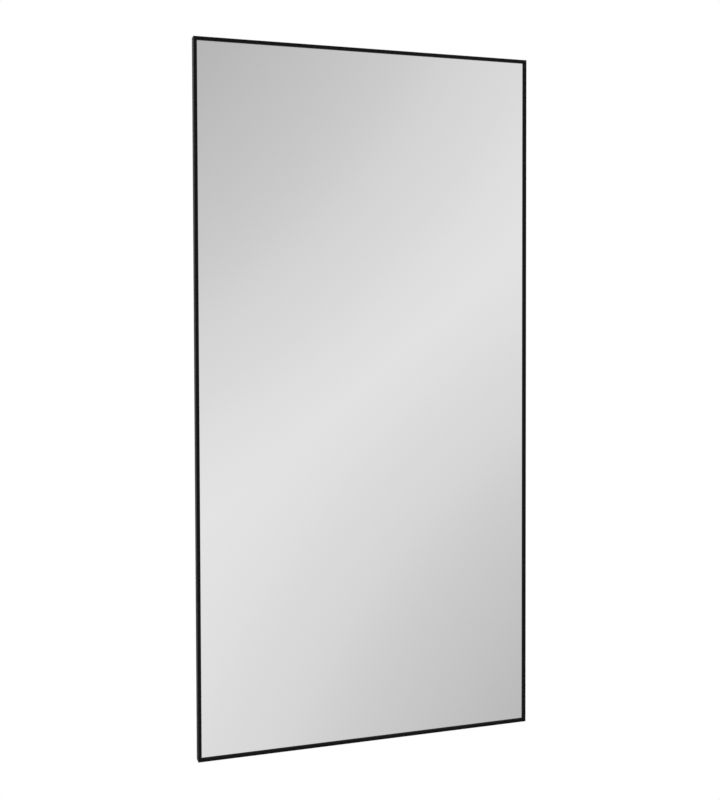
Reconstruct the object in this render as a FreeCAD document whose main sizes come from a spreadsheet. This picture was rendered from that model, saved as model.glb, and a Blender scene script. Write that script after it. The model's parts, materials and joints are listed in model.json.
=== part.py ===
import FreeCAD, Part
import Sketcher
import os
import re

# Pull out closet mirror: a framed mirror on a hinge post, carried by two ball-bearing slides that
# are screwed to the inside of a closet's side panel. +Z is up, the mirror faces -Y, the carriage
# pulls out along +X, and the origin is the middle of the four mounting holes on the mounting plane.
# The mirror's leading edge is the one at +X, and its hinge stands just behind that edge.

doc = FreeCAD.newDocument("pull_out_closet_mirror")

# ---------------------------------------------------------------- driving dimensions, in millimetres

SIZES = {
    "panel_width": "500",          # framed mirror, across
    "panel_height": "1000",        # framed mirror, tall
    "frame_face": "4.8",           # width of the frame's front lip
    "frame_wall": "1.5",           # the frame's outer wall
    "lip_thickness": "2.4",        # the glass lies this far behind the frame's face
    "rear_lip_width": "14",
    "rear_lip_thickness": "2",
    "lip_screw_inset": "7.5",      # screws in the rear lips, from the frame's outer edge
    "glass_thickness": "4",
    "film_thickness": "0.2",       # splinter-proof film on the back of the glass
    "board_thickness": "5",
    "pane_play": "0.5",            # between the frame's wall and the edge of glass, film and board
    "frame_round": "0.5",          # the front lip's long edges
    "corner_leg": "45",            # corner plate, length of each leg
    "corner_width": "10",
    "corner_near": "8",            # a leg's first screw, from the plate's inner corner
    "corner_far": "7",             # and its second, from the leg's end
    "corner_sheet": "1.2",
    "corner_inset": "2.5",
    "sheet_round": "2",            # rounded corners of small plates
    "rail_round": "6",             # rounded corners of the base rails
    "cross_height": "30",          # cross rails behind the panel
    "cross_thickness": "3",
    "cross_inset": "4",
    "small_screw_radius": "1.5",
    "small_head_radius": "2.8",
    "small_head_height": "1.5",
    "small_socket_radius": "1.26", # round driver socket in the head
    "small_socket_depth": "0.9",
    "screw_radius": "2",
    "head_radius": "3.6",
    "head_height": "2.2",
    "socket_radius": "1.62",
    "socket_depth": "1.32",
    "screw_play": "0.05",          # between a screw or rivet and its hole
    "screw_step": "16",            # between the two screws at a cross rail's end
    "rail_height": "74",           # base rails on the closet's side panel
    "rail_flange": "8",            # how far their folded edges reach forwards
    "rail_spare": "3",             # a base rail reaches this far past its slide at each end
    "rail_sheet": "2",
    "mount_inset": "38",           # mounting holes, from a rail's ends
    "mount_offset": "29",          # mounting hole above or below the middle of its slide
    "mount_hole_radius": "2.75",
    "tie_width": "40",
    "tie_spacing": "240",
    "rivet_radius": "2",
    "rivet_inset": "45",           # end rivets, from a slide's ends
    "slide_spacing": "400",        # between the two slides
    "slide_tail": "25",            # the slides end this far inside the mirror's trailing edge
    "slide_height": "45",
    "slide_depth": "12.7",
    "slide_sheet": "1.2",
    "access_radius": "5.5",        # holes that a screwdriver passes through
    "access_inset": "135",
    "pilot_radius": "2.3",         # spare screw holes in the inner member
    "pilot_start": "45",
    "pilot_pitch": "60",
    "outer_depth": "12",           # outer member, over its lips
    "outer_lip": "3.9",
    "middle_set": "2.6",           # middle member's web behind which the outer cage runs
    "middle_depth": "10.2",
    "middle_flange": "1.8",
    "inner_set": "5.2",
    "race_middle": "7",            # the balls' line, from the slide's back
    "race_cut": "0.5",             # depth of a race in its flange
    "ball_radius": "1.5",
    "ball_play": "0.2",
    "ball_pitch": "28",
    "cage_length": "200",
    "cage_sheet": "0.6",
    "cage_depth": "9.8",
    "cage_gap": "0.4",             # between a cage's web and the member behind it
    "cage_start": "120",           # from the slide's leading end, when closed
    "bumper_length": "10",
    "bumper_height": "34",
    "end_play": "0.5",
    "post_depth": "14",
    "post_width": "25",
    "post_wall": "1.5",
    "post_round": "2.5",           # outer corners of the post tubes
    "post_height": "520",
    "rear_post_width": "20",
    "rear_post_inset": "4",
    "plug_head": "2",
    "plug_depth": "14",
    "plug_play": "0.05",
    "block_height": "20",
    "pivot_lead": "5",             # pivot axis ahead of the slides
    "pivot_edge": "8",             # pivot axis behind the leading face of its post
    "pivot_inset": "20",           # pivot axis behind the leading edge of the mirror
    "pivot_radius": "3",
    "pivot_depth": "16",
    "pivot_head_radius": "5",
    "pivot_head_height": "2.5",
    "running_play": "0.05",        # pivot pin in its bush
    "bush_radius": "4",
    "bush_length": "14",
    "flange_radius": "6",
    "flange_thickness": "1",
    "washer_thickness": "1",
    "thrust_play": "0.2",
    "arm_thickness": "3",
    "arm_lead": "9",
    "arm_radius": "15.5",
    "leaf_width": "48",
    "leaf_height": "44",
    "leaf_screw_inset": "9",
    "leaf_screw_step": "26",
    "stop_radius": "11",           # stop pin's place, from the pivot axis
    "stop_pin_radius": "2",
    "stop_pin_depth": "10",
    "stop_pin_height": "6",
    "stop_play": "0.3",
    "panel_gap": "9",              # between the posts and the panel's back
    "catch_width": "18",
    "catch_height": "44",
    "catch_tab": "1.5",
    "catch_tab_height": "9",
    "catch_round": "2",
    "catch_gap": "0.3",
    "magnet_radius": "5",
    "magnet_thickness": "3",
    "magnet_spacing": "13",
    "magnet_proud": "0.3",
    "strike_width": "46",
    "strike_screw_inset": "6",
    "strike_sheet": "1.2",
    "nut_radius": "3.6",
    "nut_thickness": "3",
    "shank_spare": "1",            # a screw's end past its nut or cross rail
}

# ---------------------------------------------------------------- places that follow from the sizes

PLACES = {
    "slide_back": "rail_sheet",
    "post_back": "slide_back + slide_depth",
    "post_front": "post_back + post_depth",
    "panel_back": "post_front + panel_gap",
    "board_back": "panel_back + rear_lip_thickness",
    "film_back": "board_back + board_thickness",
    "glass_back": "film_back + film_thickness",
    "lip_back": "glass_back + glass_thickness",
    "slide_length": "panel_width - pivot_inset - pivot_lead - slide_tail",
    "rail_length": "slide_length + 2 * rail_spare",
    "mount_reach": "rail_length / 2 - mount_inset",
    "rivet_reach": "slide_length / 2 - rivet_inset",
    "access_reach": "slide_length / 2 - access_inset",
    "slide_start": "-slide_length / 2",
    "slide_lead": "slide_length / 2",
    "pivot_x": "slide_lead + pivot_lead",
    "pivot_deep": "post_back + post_depth / 2",
    "post_start": "pivot_x + pivot_edge - post_width",
    "panel_right": "pivot_x + pivot_inset",
    "panel_left": "panel_right - panel_width",
    "panel_top": "panel_height / 2",
    "member_length": "slide_length - bumper_length - end_play",
    "member_start": "slide_lead - member_length",
    "rear_post_start": "member_start + rear_post_inset",
    "rear_post_middle": "rear_post_start + rear_post_width / 2",
    "leaf_start": "pivot_x + arm_lead - leaf_width",
    "race_floor": "ball_radius + ball_play",
    "race_flat": "race_floor / 2",
    "outer_edge": "slide_height / 2",
    "outer_ball": "outer_edge - slide_sheet + race_cut - race_floor",
    "middle_edge": "outer_ball - race_floor + race_cut",
    "middle_inside": "middle_edge - middle_flange",
    "inner_ball": "middle_inside + race_cut - race_floor",
    "inner_edge": "inner_ball - race_floor + race_cut",
    "post_end": "post_height / 2",
    "washer_end": "post_end + flange_thickness + washer_thickness",
    "arm_low": "washer_end + thrust_play",
    "arm_high": "arm_low + arm_thickness",
    "cross_back": "panel_back - cross_thickness",
    "leaf_back": "cross_back - arm_thickness",
    "strike_back": "cross_back - strike_sheet",
    "cross_end": "arm_low + leaf_height / 2",
    "catch_front": "strike_back - catch_gap - magnet_proud",
}

sheet = doc.addObject("Spreadsheet::Sheet", "Sizes")
for row, (name, size) in enumerate(SIZES.items(), 1):
    sheet.set(f"A{row}", name)
    sheet.set(f"B{row}", size)
    sheet.setAlias(f"B{row}", name)
doc.recompute()


def formula(text):
    """Turn a formula in the words above into an expression that reads the sheet."""
    def word(match):
        name = match.group(0)
        if name in PLACES:
            return f"({formula(PLACES[name])})"
        return f"Sizes.{name}" if name in SIZES else name
    return re.sub(r"[a-z][a-z_]*", word, str(text))


def number(text):
    """Work a formula out, for a starting value that a constraint then holds."""
    return float(sheet.evalExpression(formula(text)))


# ---------------------------------------------------------------- ways of making a piece

ALONG = {
    "x": FreeCAD.Rotation(FreeCAD.Vector(0, 1, 0), 90),
    "y": FreeCAD.Rotation(FreeCAD.Vector(1, 0, 0), 90),   # runs towards -Y, the front
    "z": FreeCAD.Rotation(),
}
nodes = []


def keep(piece, label):
    """Mark a finished piece as a node of its own."""
    piece.Label = label
    nodes.append(piece)
    return piece


def place(piece, x, deep, z):
    """Put a piece at x and z, and this deep in front of the mounting plane."""
    piece.setExpression("Placement.Base.x", formula(x))
    piece.setExpression("Placement.Base.y", formula(f"-({deep})"))
    piece.setExpression("Placement.Base.z", formula(z))


def block(name, x, deep, z, long, thick, tall):
    """A block whose back face is deep in front of the mounting plane; x and z are its low corner."""
    piece = doc.addObject("Part::Box", name)
    piece.setExpression("Length", formula(long))
    piece.setExpression("Width", formula(thick))
    piece.setExpression("Height", formula(tall))
    place(piece, x, f"{deep} + {thick}", z)
    return piece


def round_block(name, x, deep, z, long, thick, tall, radius, along="z"):
    """A block whose four edges along +Z, or from back to front, are rounded."""
    def inside(start, reach):
        return f"{start} + {radius}", f"{reach} - 2 * ({radius})"

    low_x, short = inside(x, long)
    if along == "z":
        low_deep, thin = inside(deep, thick)
        slabs = [block(f"{name}_wide", x, low_deep, z, long, thin, tall),
                 block(f"{name}_deep", low_x, deep, z, short, thick, tall)]
        corners = [(cx, cd, z) for cx in (low_x, f"{low_x} + {short}")
                   for cd in (low_deep, f"{low_deep} + {thin}")]
    else:
        low_z, flat = inside(z, tall)
        slabs = [block(f"{name}_wide", x, deep, low_z, long, thick, flat),
                 block(f"{name}_tall", low_x, deep, z, short, thick, tall)]
        corners = [(cx, deep, cz) for cx in (low_x, f"{low_x} + {short}")
                   for cz in (low_z, f"{low_z} + {flat}")]
    reach = tall if along == "z" else thick
    pillars = [rod(f"{name}_corner_{index}", radius, reach, along, *corner)
               for index, corner in enumerate(corners)]
    return fuse(name, slabs + pillars)


def rod(name, radius, length, along, x, deep, z):
    """A round bar along +X, along +Z, or from its place towards the front."""
    piece = doc.addObject("Part::Cylinder", name)
    piece.setExpression("Radius", formula(radius))
    piece.setExpression("Height", formula(length))
    piece.Placement.Rotation = ALONG[along]
    place(piece, x, deep, z)
    return piece


def quarter(name, radius, thick, x, deep, z):
    """A quarter disc about a vertical axis, between -X and +Y of it."""
    piece = rod(name, radius, thick, "z", x, deep, z)
    piece.Angle = 90
    piece.Placement.Rotation = FreeCAD.Rotation(FreeCAD.Vector(0, 0, 1), 90)
    return piece


def fuse(name, pieces):
    whole = doc.addObject("Part::MultiFuse", name)
    whole.Shapes = pieces
    whole.Refine = True
    return whole


def cut(name, base, tools):
    whole = doc.addObject("Part::Cut", name)
    whole.Base = base
    whole.Tool = tools[0] if len(tools) == 1 else fuse(f"{name}_tools", tools)
    return whole


def group(name, pieces):
    whole = doc.addObject("Part::Compound", name)
    whole.Links = pieces
    return whole


def origin_plane(body, role):
    return next(part for part in body.Origin.OriginFeatures if part.Role == role)


def hold(sketch, first, where, place_text):
    """Hold one point of a sketch at a place that the sheet gives."""
    for kind, text in zip(("DistanceX", "DistanceY"), place_text):
        index = sketch.addConstraint(Sketcher.Constraint(kind, -1, 1, first, where, number(text)))
        sketch.setExpression(f"Constraints[{index}]", formula(text))


def draw(sketch, outline, holes):
    """A closed outline of straight lines, and round holes as (x, y, radius)."""
    points = [FreeCAD.Vector(number(x), number(y), 0) for x, y in outline]
    for index, point in enumerate(points):
        after = points[(index + 1) % len(points)]
        sketch.addGeometry(Part.LineSegment(point, after))
    for index in range(len(points)):
        after = (index + 1) % len(points)
        sketch.addConstraint(Sketcher.Constraint("Coincident", index, 2, after, 1))
    for index, place_text in enumerate(outline):
        hold(sketch, index, 1, place_text)
    for x, y, radius in holes:
        centre = FreeCAD.Vector(number(x), number(y), 0)
        ring = sketch.addGeometry(Part.Circle(centre, FreeCAD.Vector(0, 0, 1), number(radius)))
        hold(sketch, ring, 3, (x, y))
        index = sketch.addConstraint(Sketcher.Constraint("Radius", ring, number(radius)))
        sketch.setExpression(f"Constraints[{index}]", formula(radius))


def new_body(name):
    return doc.addObject("PartDesign::Body", name)


def pad(body, role, outline, start, length, holes=()):
    """Pad an outline on an origin plane. XZ runs to the front, YZ to +X and XY to +Z."""
    sketch = body.newObject("Sketcher::SketchObject", f"{body.Name}_sketch")
    sketch.AttachmentSupport = (origin_plane(body, role), [""])
    sketch.MapMode = "FlatFace"
    sketch.setExpression("AttachmentOffset.Base.z", formula(start))
    draw(sketch, outline, holes)
    feature = body.newObject("PartDesign::Pad", f"{body.Name}_pad")
    feature.Profile = sketch
    feature.setExpression("Length", formula(length))
    return feature


def rectangle(x0, y0, x1, y1):
    return [(x0, y0), (x1, y0), (x1, y1), (x0, y1)]


def round_edges(body, feature, chosen, radius):
    """Round the straight edges of a feature whose two ends a test picks."""
    doc.recompute()
    names = [f"Edge{index}" for index, edge in enumerate(feature.Shape.Edges, 1)
             if edge.Curve.TypeId == "Part::GeomLine"
             and chosen(edge.Vertexes[0].Point, edge.Vertexes[-1].Point)]
    rounding = body.newObject("PartDesign::Fillet", f"{body.Name}_rounding")
    rounding.Base = (feature, names)
    rounding.setExpression("Radius", formula(radius))


def round_corners(body, feature, outline, radius):
    """Round the corners of a plate that was padded from an outline on the XZ plane."""
    corners = [(number(x), number(z)) for x, z in outline]

    def at_corner(start, end):
        through = abs(start.x - end.x) + abs(start.z - end.z) < 1e-6
        return through and any(abs(start.x - x) + abs(start.z - z) < 1e-6 for x, z in corners)

    round_edges(body, feature, at_corner, radius)


def plate(label, outline, deep, thick, holes=(), radius=None):
    """A flat plate that stands upright, its back face deep in front of the mounting plane."""
    body = new_body(f"{label}_body")
    feature = pad(body, "XZ_Plane", outline, deep, thick, holes)
    if radius:
        round_corners(body, feature, outline, radius)
    return keep(body, label)


def screws(label, places, kind, length, facing="back"):
    """Button-head screws, small or large. places are (x, z, depth of the face under the head)."""
    small = "small_" if kind == "small" else ""
    height = f"{small}head_height"
    dip = f"{small}socket_depth"
    made = []
    for index, (x, z, seat) in enumerate(places):
        name = f"{label}_{index}"
        if facing == "back":
            under, top, floor = seat, f"{seat} - {height}", f"{seat} - {height}"
        else:
            under, top, floor = f"{seat} - {length}", seat, f"{seat} + {height} - {dip}"
        shank = rod(f"{name}_shank", f"{small}screw_radius", length, "y", x, under, z)
        cap = rod(f"{name}_cap", f"{small}head_radius", height, "y", x, top, z)
        hollow = rod(f"{name}_hollow", f"{small}socket_radius", dip, "y", x, floor, z)
        made.append(cut(name, fuse(f"{name}_solid", [shank, cap]), [hollow]))
    return keep(group(f"{label}_group", made), label)


# ---------------------------------------------------------------- mirror panel

MIRROR_EDGES = {
    "frame_left": lambda w: [("panel_left", "-panel_top"), ("panel_left", "panel_top"),
                             (f"panel_left + {w}", f"panel_top - {w}"),
                             (f"panel_left + {w}", f"{w} - panel_top")],
    "frame_right": lambda w: [("panel_right", "-panel_top"), ("panel_right", "panel_top"),
                              (f"panel_right - {w}", f"panel_top - {w}"),
                              (f"panel_right - {w}", f"{w} - panel_top")],
    "frame_top": lambda w: [("panel_left", "panel_top"), ("panel_right", "panel_top"),
                            (f"panel_right - {w}", f"panel_top - {w}"),
                            (f"panel_left + {w}", f"panel_top - {w}")],
    "frame_bottom": lambda w: [("panel_left", "-panel_top"), ("panel_right", "-panel_top"),
                               (f"panel_right - {w}", f"{w} - panel_top"),
                               (f"panel_left + {w}", f"{w} - panel_top")],
}


def make_frame():
    """Four mitred lengths of channel: a front lip, an outer wall and a rear lip."""
    front = -number("lip_back + lip_thickness")

    def along_front(start, end):
        straight = min(abs(start.x - end.x), abs(start.z - end.z)) < 1e-6
        return straight and abs(start.y - front) + abs(end.y - front) < 1e-6

    for label, side in MIRROR_EDGES.items():
        body = new_body(f"{label}_body")
        pad(body, "XZ_Plane", side("rear_lip_width"), "panel_back", "rear_lip_thickness")
        pad(body, "XZ_Plane", side("frame_wall"), "board_back", "lip_back - board_back")
        lip = pad(body, "XZ_Plane", side("frame_face"), "lip_back", "lip_thickness")
        round_edges(body, lip, along_front, "frame_round")
        keep(body, label)


def make_pane():
    """Glass, film and board, one behind another between the frame's lips."""
    edge = "frame_wall + pane_play"
    outline = rectangle(f"panel_left + {edge}", f"{edge} - panel_top",
                        f"panel_right - ({edge})", f"panel_top - ({edge})")
    plate("mirror_glass", outline, "glass_back", "glass_thickness")
    plate("safety_film", outline, "film_back", "film_thickness")
    plate("backing_board", outline, "board_back", "board_thickness")


def corner_points(side_x, side_z):
    """One corner plate's outline and the places of its four screws."""
    edge = "panel_left" if side_x < 0 else "panel_right"

    def across(inward):
        return f"{edge} - {side_x} * (corner_inset + {inward})"

    def up(inward):
        return f"{side_z} * (panel_top - corner_inset - ({inward}))"

    outline = [(across("0"), up("0")), (across("corner_leg"), up("0")),
               (across("corner_leg"), up("corner_width")), (across("corner_width"), up("corner_width")),
               (across("corner_width"), up("corner_leg")), (across("0"), up("corner_leg"))]
    middle = "corner_width / 2"
    near = "corner_width + corner_near"
    far = "corner_leg - corner_far"
    fixings = [(across(near), up(middle)), (across(far), up(middle)),
               (across(middle), up(near)), (across(middle), up(far))]
    return outline, fixings


def make_corners():
    """Flat steel plates that hold the four mitres, each with four screws into the rear lips."""
    plates = []
    fixings = []
    for side_x in (-1, 1):
        for side_z in (-1, 1):
            outline, places = corner_points(side_x, side_z)
            body = new_body(f"corner_{len(plates)}_body")
            holes = [(x, z, "small_screw_radius + screw_play") for x, z in places]
            feature = pad(body, "XZ_Plane", outline, "panel_back - corner_sheet", "corner_sheet", holes)
            round_corners(body, feature, outline, "sheet_round")
            plates.append(body)
            fixings += [(x, z, "panel_back - corner_sheet") for x, z in places]
    keep(group("corner_plates_group", plates), "corner_plates")
    screws("corner_screws", fixings, "small", "corner_sheet")


CROSS_RAILS = {"upper": "cross_end", "middle": "0", "lower": "-cross_end"}


def leaf_screw_places(side):
    """The four screws of one hinge arm's leaf, in x and z."""
    first = "leaf_start + leaf_width - leaf_screw_inset - leaf_screw_step"
    return [(f"{first} + {column} * leaf_screw_step", f"{side} * cross_end + {row} * screw_step / 2")
            for column in (0, 1) for row in (-1, 1)]


def make_cross_rails():
    """Three flat bars across the back, screwed to the side frames' rear lips."""
    fixings = []
    for level, middle in CROSS_RAILS.items():
        outline = rectangle("panel_left + cross_inset", f"{middle} - cross_height / 2",
                            "panel_right - cross_inset", f"{middle} + cross_height / 2")
        ends = [(x, f"{middle} + {row} * screw_step / 2")
                for x in ("panel_left + lip_screw_inset", "panel_right - lip_screw_inset")
                for row in (-1, 1)]
        holes = [(x, z, "small_screw_radius + screw_play") for x, z in ends]
        if level == "middle":
            holes += [(x, z, "small_screw_radius + screw_play") for x, z in strike_screw_places()]
        else:
            side = 1 if level == "upper" else -1
            holes += [(x, z, "screw_radius + screw_play") for x, z in leaf_screw_places(side)]
        plate(f"cross_rail_{level}", outline, "cross_back", "cross_thickness", holes, "sheet_round")
        fixings += [(x, z, "cross_back") for x, z in ends]
    screws("cross_rail_screws", fixings, "small", "cross_thickness")


def strike_screw_places():
    return [(f"rear_post_middle + {way} * (strike_width / 2 - strike_screw_inset)", "0")
            for way in (-1, 1)]


def make_strike():
    """Steel plate on the middle cross rail, where the magnets hold the panel parallel."""
    outline = rectangle("rear_post_middle - strike_width / 2", "-cross_height / 2",
                        "rear_post_middle + strike_width / 2", "cross_height / 2")
    holes = [(x, z, "small_screw_radius + screw_play") for x, z in strike_screw_places()]
    plate("strike_plate", outline, "strike_back", "strike_sheet", holes, "sheet_round")


# ---------------------------------------------------------------- hinge

def make_hinge(level, side):
    """Hinge arm, pivot pin, flanged bush, thrust washer and the block they stand in."""
    def low(start, tall):
        """Low corner of a stretch that starts at a height and grows away from the middle."""
        return start if side > 0 else f"-({start}) - ({tall})"

    deep = "pivot_deep"
    bar = "arm_thickness"
    web = block(f"arm_web_{level}", "pivot_x - arm_radius", deep, low("arm_low", bar),
                "arm_lead + arm_radius", "cross_back - pivot_deep", bar)
    nose = rod(f"arm_nose_{level}", "arm_lead", bar, "z", "pivot_x", deep, low("arm_low", bar))
    fan = quarter(f"arm_fan_{level}", "arm_radius", bar, "pivot_x", deep, low("arm_low", bar))
    leaf = round_block(f"arm_leaf_{level}", "leaf_start", "leaf_back",
                       low("arm_low", "leaf_height"), "leaf_width", "arm_thickness", "leaf_height",
                       "sheet_round", "y")
    bore = rod(f"arm_bore_{level}", "pivot_radius + screw_play", bar, "z", "pivot_x", deep,
               low("arm_low", bar))
    slot_low = low("arm_low", bar)
    wide = quarter(f"slot_wide_{level}", "stop_radius + stop_pin_radius + stop_play", bar, "pivot_x",
                   deep, slot_low)
    core = rod(f"slot_core_{level}", "stop_radius - stop_pin_radius - stop_play", bar, "z", "pivot_x",
               deep, slot_low)
    ends = [rod(f"slot_rest_{level}", "stop_pin_radius + stop_play", bar, "z",
                "pivot_x - stop_radius", deep, slot_low),
            rod(f"slot_open_{level}", "stop_pin_radius + stop_play", bar, "z",
                "pivot_x", f"{deep} - stop_radius", slot_low)]
    slot = fuse(f"slot_{level}", [cut(f"slot_ring_{level}", wide, [core])] + ends)
    drills = [rod(f"leaf_drill_{level}_{index}", "screw_radius + screw_play", "arm_thickness", "y", x,
                  "leaf_back", z) for index, (x, z) in enumerate(leaf_screw_places(side))]
    arm = cut(f"arm_{level}", fuse(f"arm_solid_{level}", [web, nose, fan, leaf]),
              [bore, slot] + drills)
    keep(arm, f"hinge_arm_{level}")

    reach = "arm_high - post_end + pivot_depth"
    shank = rod(f"pin_shank_{level}", "pivot_radius", reach, "z", "pivot_x", deep,
                low("post_end - pivot_depth", reach))
    head = rod(f"pin_head_{level}", "pivot_head_radius", "pivot_head_height", "z", "pivot_x", deep,
               low("arm_high", "pivot_head_height"))
    keep(fuse(f"pin_{level}", [shank, head]), f"pivot_pin_{level}")

    sleeve = rod(f"bush_sleeve_{level}", "bush_radius", "bush_length", "z", "pivot_x", deep,
                 low("post_end - bush_length", "bush_length"))
    flange = rod(f"bush_flange_{level}", "flange_radius", "flange_thickness", "z", "pivot_x", deep,
                 low("post_end", "flange_thickness"))
    bush_bore = rod(f"bush_bore_{level}", "pivot_radius + running_play",
                    "bush_length + flange_thickness", "z", "pivot_x", deep,
                    low("post_end - bush_length", "bush_length + flange_thickness"))
    keep(cut(f"bush_{level}", fuse(f"bush_solid_{level}", [sleeve, flange]), [bush_bore]),
         f"pivot_bush_{level}")

    ring = rod(f"washer_ring_{level}", "flange_radius", "washer_thickness", "z", "pivot_x", deep,
               low("post_end + flange_thickness", "washer_thickness"))
    eye = rod(f"washer_eye_{level}", "pivot_radius + running_play", "washer_thickness", "z", "pivot_x",
              deep, low("post_end + flange_thickness", "washer_thickness"))
    keep(cut(f"washer_{level}", ring, [eye]), f"thrust_washer_{level}")

    plug = round_block(f"block_solid_{level}", "post_start + post_wall + plug_play",
                       "post_back + post_wall + plug_play",
                       low("post_end - block_height", "block_height"),
                       "post_width - 2 * (post_wall + plug_play)",
                       "post_depth - 2 * (post_wall + plug_play)", "block_height",
                       "post_round - post_wall")
    seat = rod(f"block_seat_{level}", "bush_radius + screw_play", "block_height", "z", "pivot_x", deep,
               low("post_end - block_height", "block_height"))
    stop_seat = rod(f"block_stop_{level}", "stop_pin_radius + screw_play", "stop_pin_depth", "z",
                    "pivot_x - stop_radius", deep, low("post_end - stop_pin_depth", "stop_pin_depth"))
    keep(cut(f"block_{level}", plug, [seat, stop_seat]), f"pivot_block_{level}")

    stop_long = "stop_pin_depth + stop_pin_height"
    return rod(f"stop_{level}", "stop_pin_radius", stop_long, "z", "pivot_x - stop_radius", deep,
               low("post_end - stop_pin_depth", stop_long))


# ---------------------------------------------------------------- slides

def both_halves(upper):
    """Complete an outline whose upper half is given, by its mirror image below."""
    return upper + [(deep, f"-({up})") for deep, up in reversed(upper)]


def race(edge, cut_way, order):
    """The four corners of one ball race, cut into a flange's face at height edge."""
    floor = f"{edge} + {cut_way} * race_cut"
    corners = [("race_middle - race_flat - race_cut", edge), ("race_middle - race_flat", floor),
               ("race_middle + race_flat", floor), ("race_middle + race_flat + race_cut", edge)]
    return corners if order > 0 else corners[::-1]


def extrusion(name, upper, start, length, middle):
    """A member along the slide, from the upper half of its section as (depth, height)."""
    body = new_body(name)
    outline = [(f"-(slide_back + {deep})", f"{middle} + {up}") for deep, up in both_halves(upper)]
    pad(body, "YZ_Plane", outline, start, length)
    return body


OUTER_SECTION = (
    [("0", "outer_edge"), ("outer_depth", "outer_edge"), ("outer_depth", "outer_edge - outer_lip"),
     ("outer_depth - slide_sheet", "outer_edge - outer_lip"),
     ("outer_depth - slide_sheet", "outer_edge - slide_sheet")]
    + race("outer_edge - slide_sheet", 1, -1)
    + [("slide_sheet", "outer_edge - slide_sheet")]
)
MIDDLE_SECTION = (
    [("middle_set", "middle_edge")] + race("middle_edge", -1, 1)
    + [("middle_depth", "middle_edge"), ("middle_depth", "middle_inside")]
    + race("middle_inside", 1, -1) + [("middle_set + slide_sheet", "middle_inside")]
)
INNER_SECTION = (
    [("slide_depth - slide_sheet", "inner_edge - slide_sheet"),
     ("inner_set", "inner_edge - slide_sheet"), ("inner_set", "inner_edge")]
    + race("inner_edge", -1, 1) + [("slide_depth", "inner_edge")]
)
RIVET_PLACES = ("-rivet_reach", "0", "rivet_reach")


def cage_section(web, ball):
    return [(web, f"{ball} + cage_sheet / 2"), ("cage_depth", f"{ball} + cage_sheet / 2"),
            ("cage_depth", f"{ball} - cage_sheet / 2"),
            (f"{web} + cage_sheet", f"{ball} - cage_sheet / 2")]


def make_cage(label, level, middle, web, ball):
    """A ball cage, a thin steel channel, and the two rows of balls that it spaces."""
    start = "slide_lead - cage_start - cage_length"
    channel = extrusion(f"{label}_{level}_channel", cage_section(web, ball), start, "cage_length", middle)
    pockets = []
    balls = []
    count = int(number("(cage_length - 4 * ball_radius) / ball_pitch")) + 1
    for row in (-1, 1):
        for index in range(count):
            x = f"{start} + cage_length / 2 + ({index} - {count - 1} / 2) * ball_pitch"
            z = f"{middle} + {row} * ({ball})"
            name = f"{label}_{level}_{index}_{'low' if row < 0 else 'high'}"
            pockets.append(rod(f"{name}_pocket", "ball_radius + ball_play / 2", "2 * cage_sheet", "z", x,
                               "slide_back + race_middle", f"{z} - cage_sheet"))
            sphere = doc.addObject("Part::Sphere", f"{name}_ball")
            sphere.setExpression("Radius", formula("ball_radius"))
            place(sphere, x, "slide_back + race_middle", z)
            balls.append(sphere)
    keep(cut(f"{label}_{level}_cage", channel, pockets), f"{label}_cage_{level}")
    keep(group(f"{label}_{level}_group", balls), f"{label}_balls_{level}")


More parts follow.
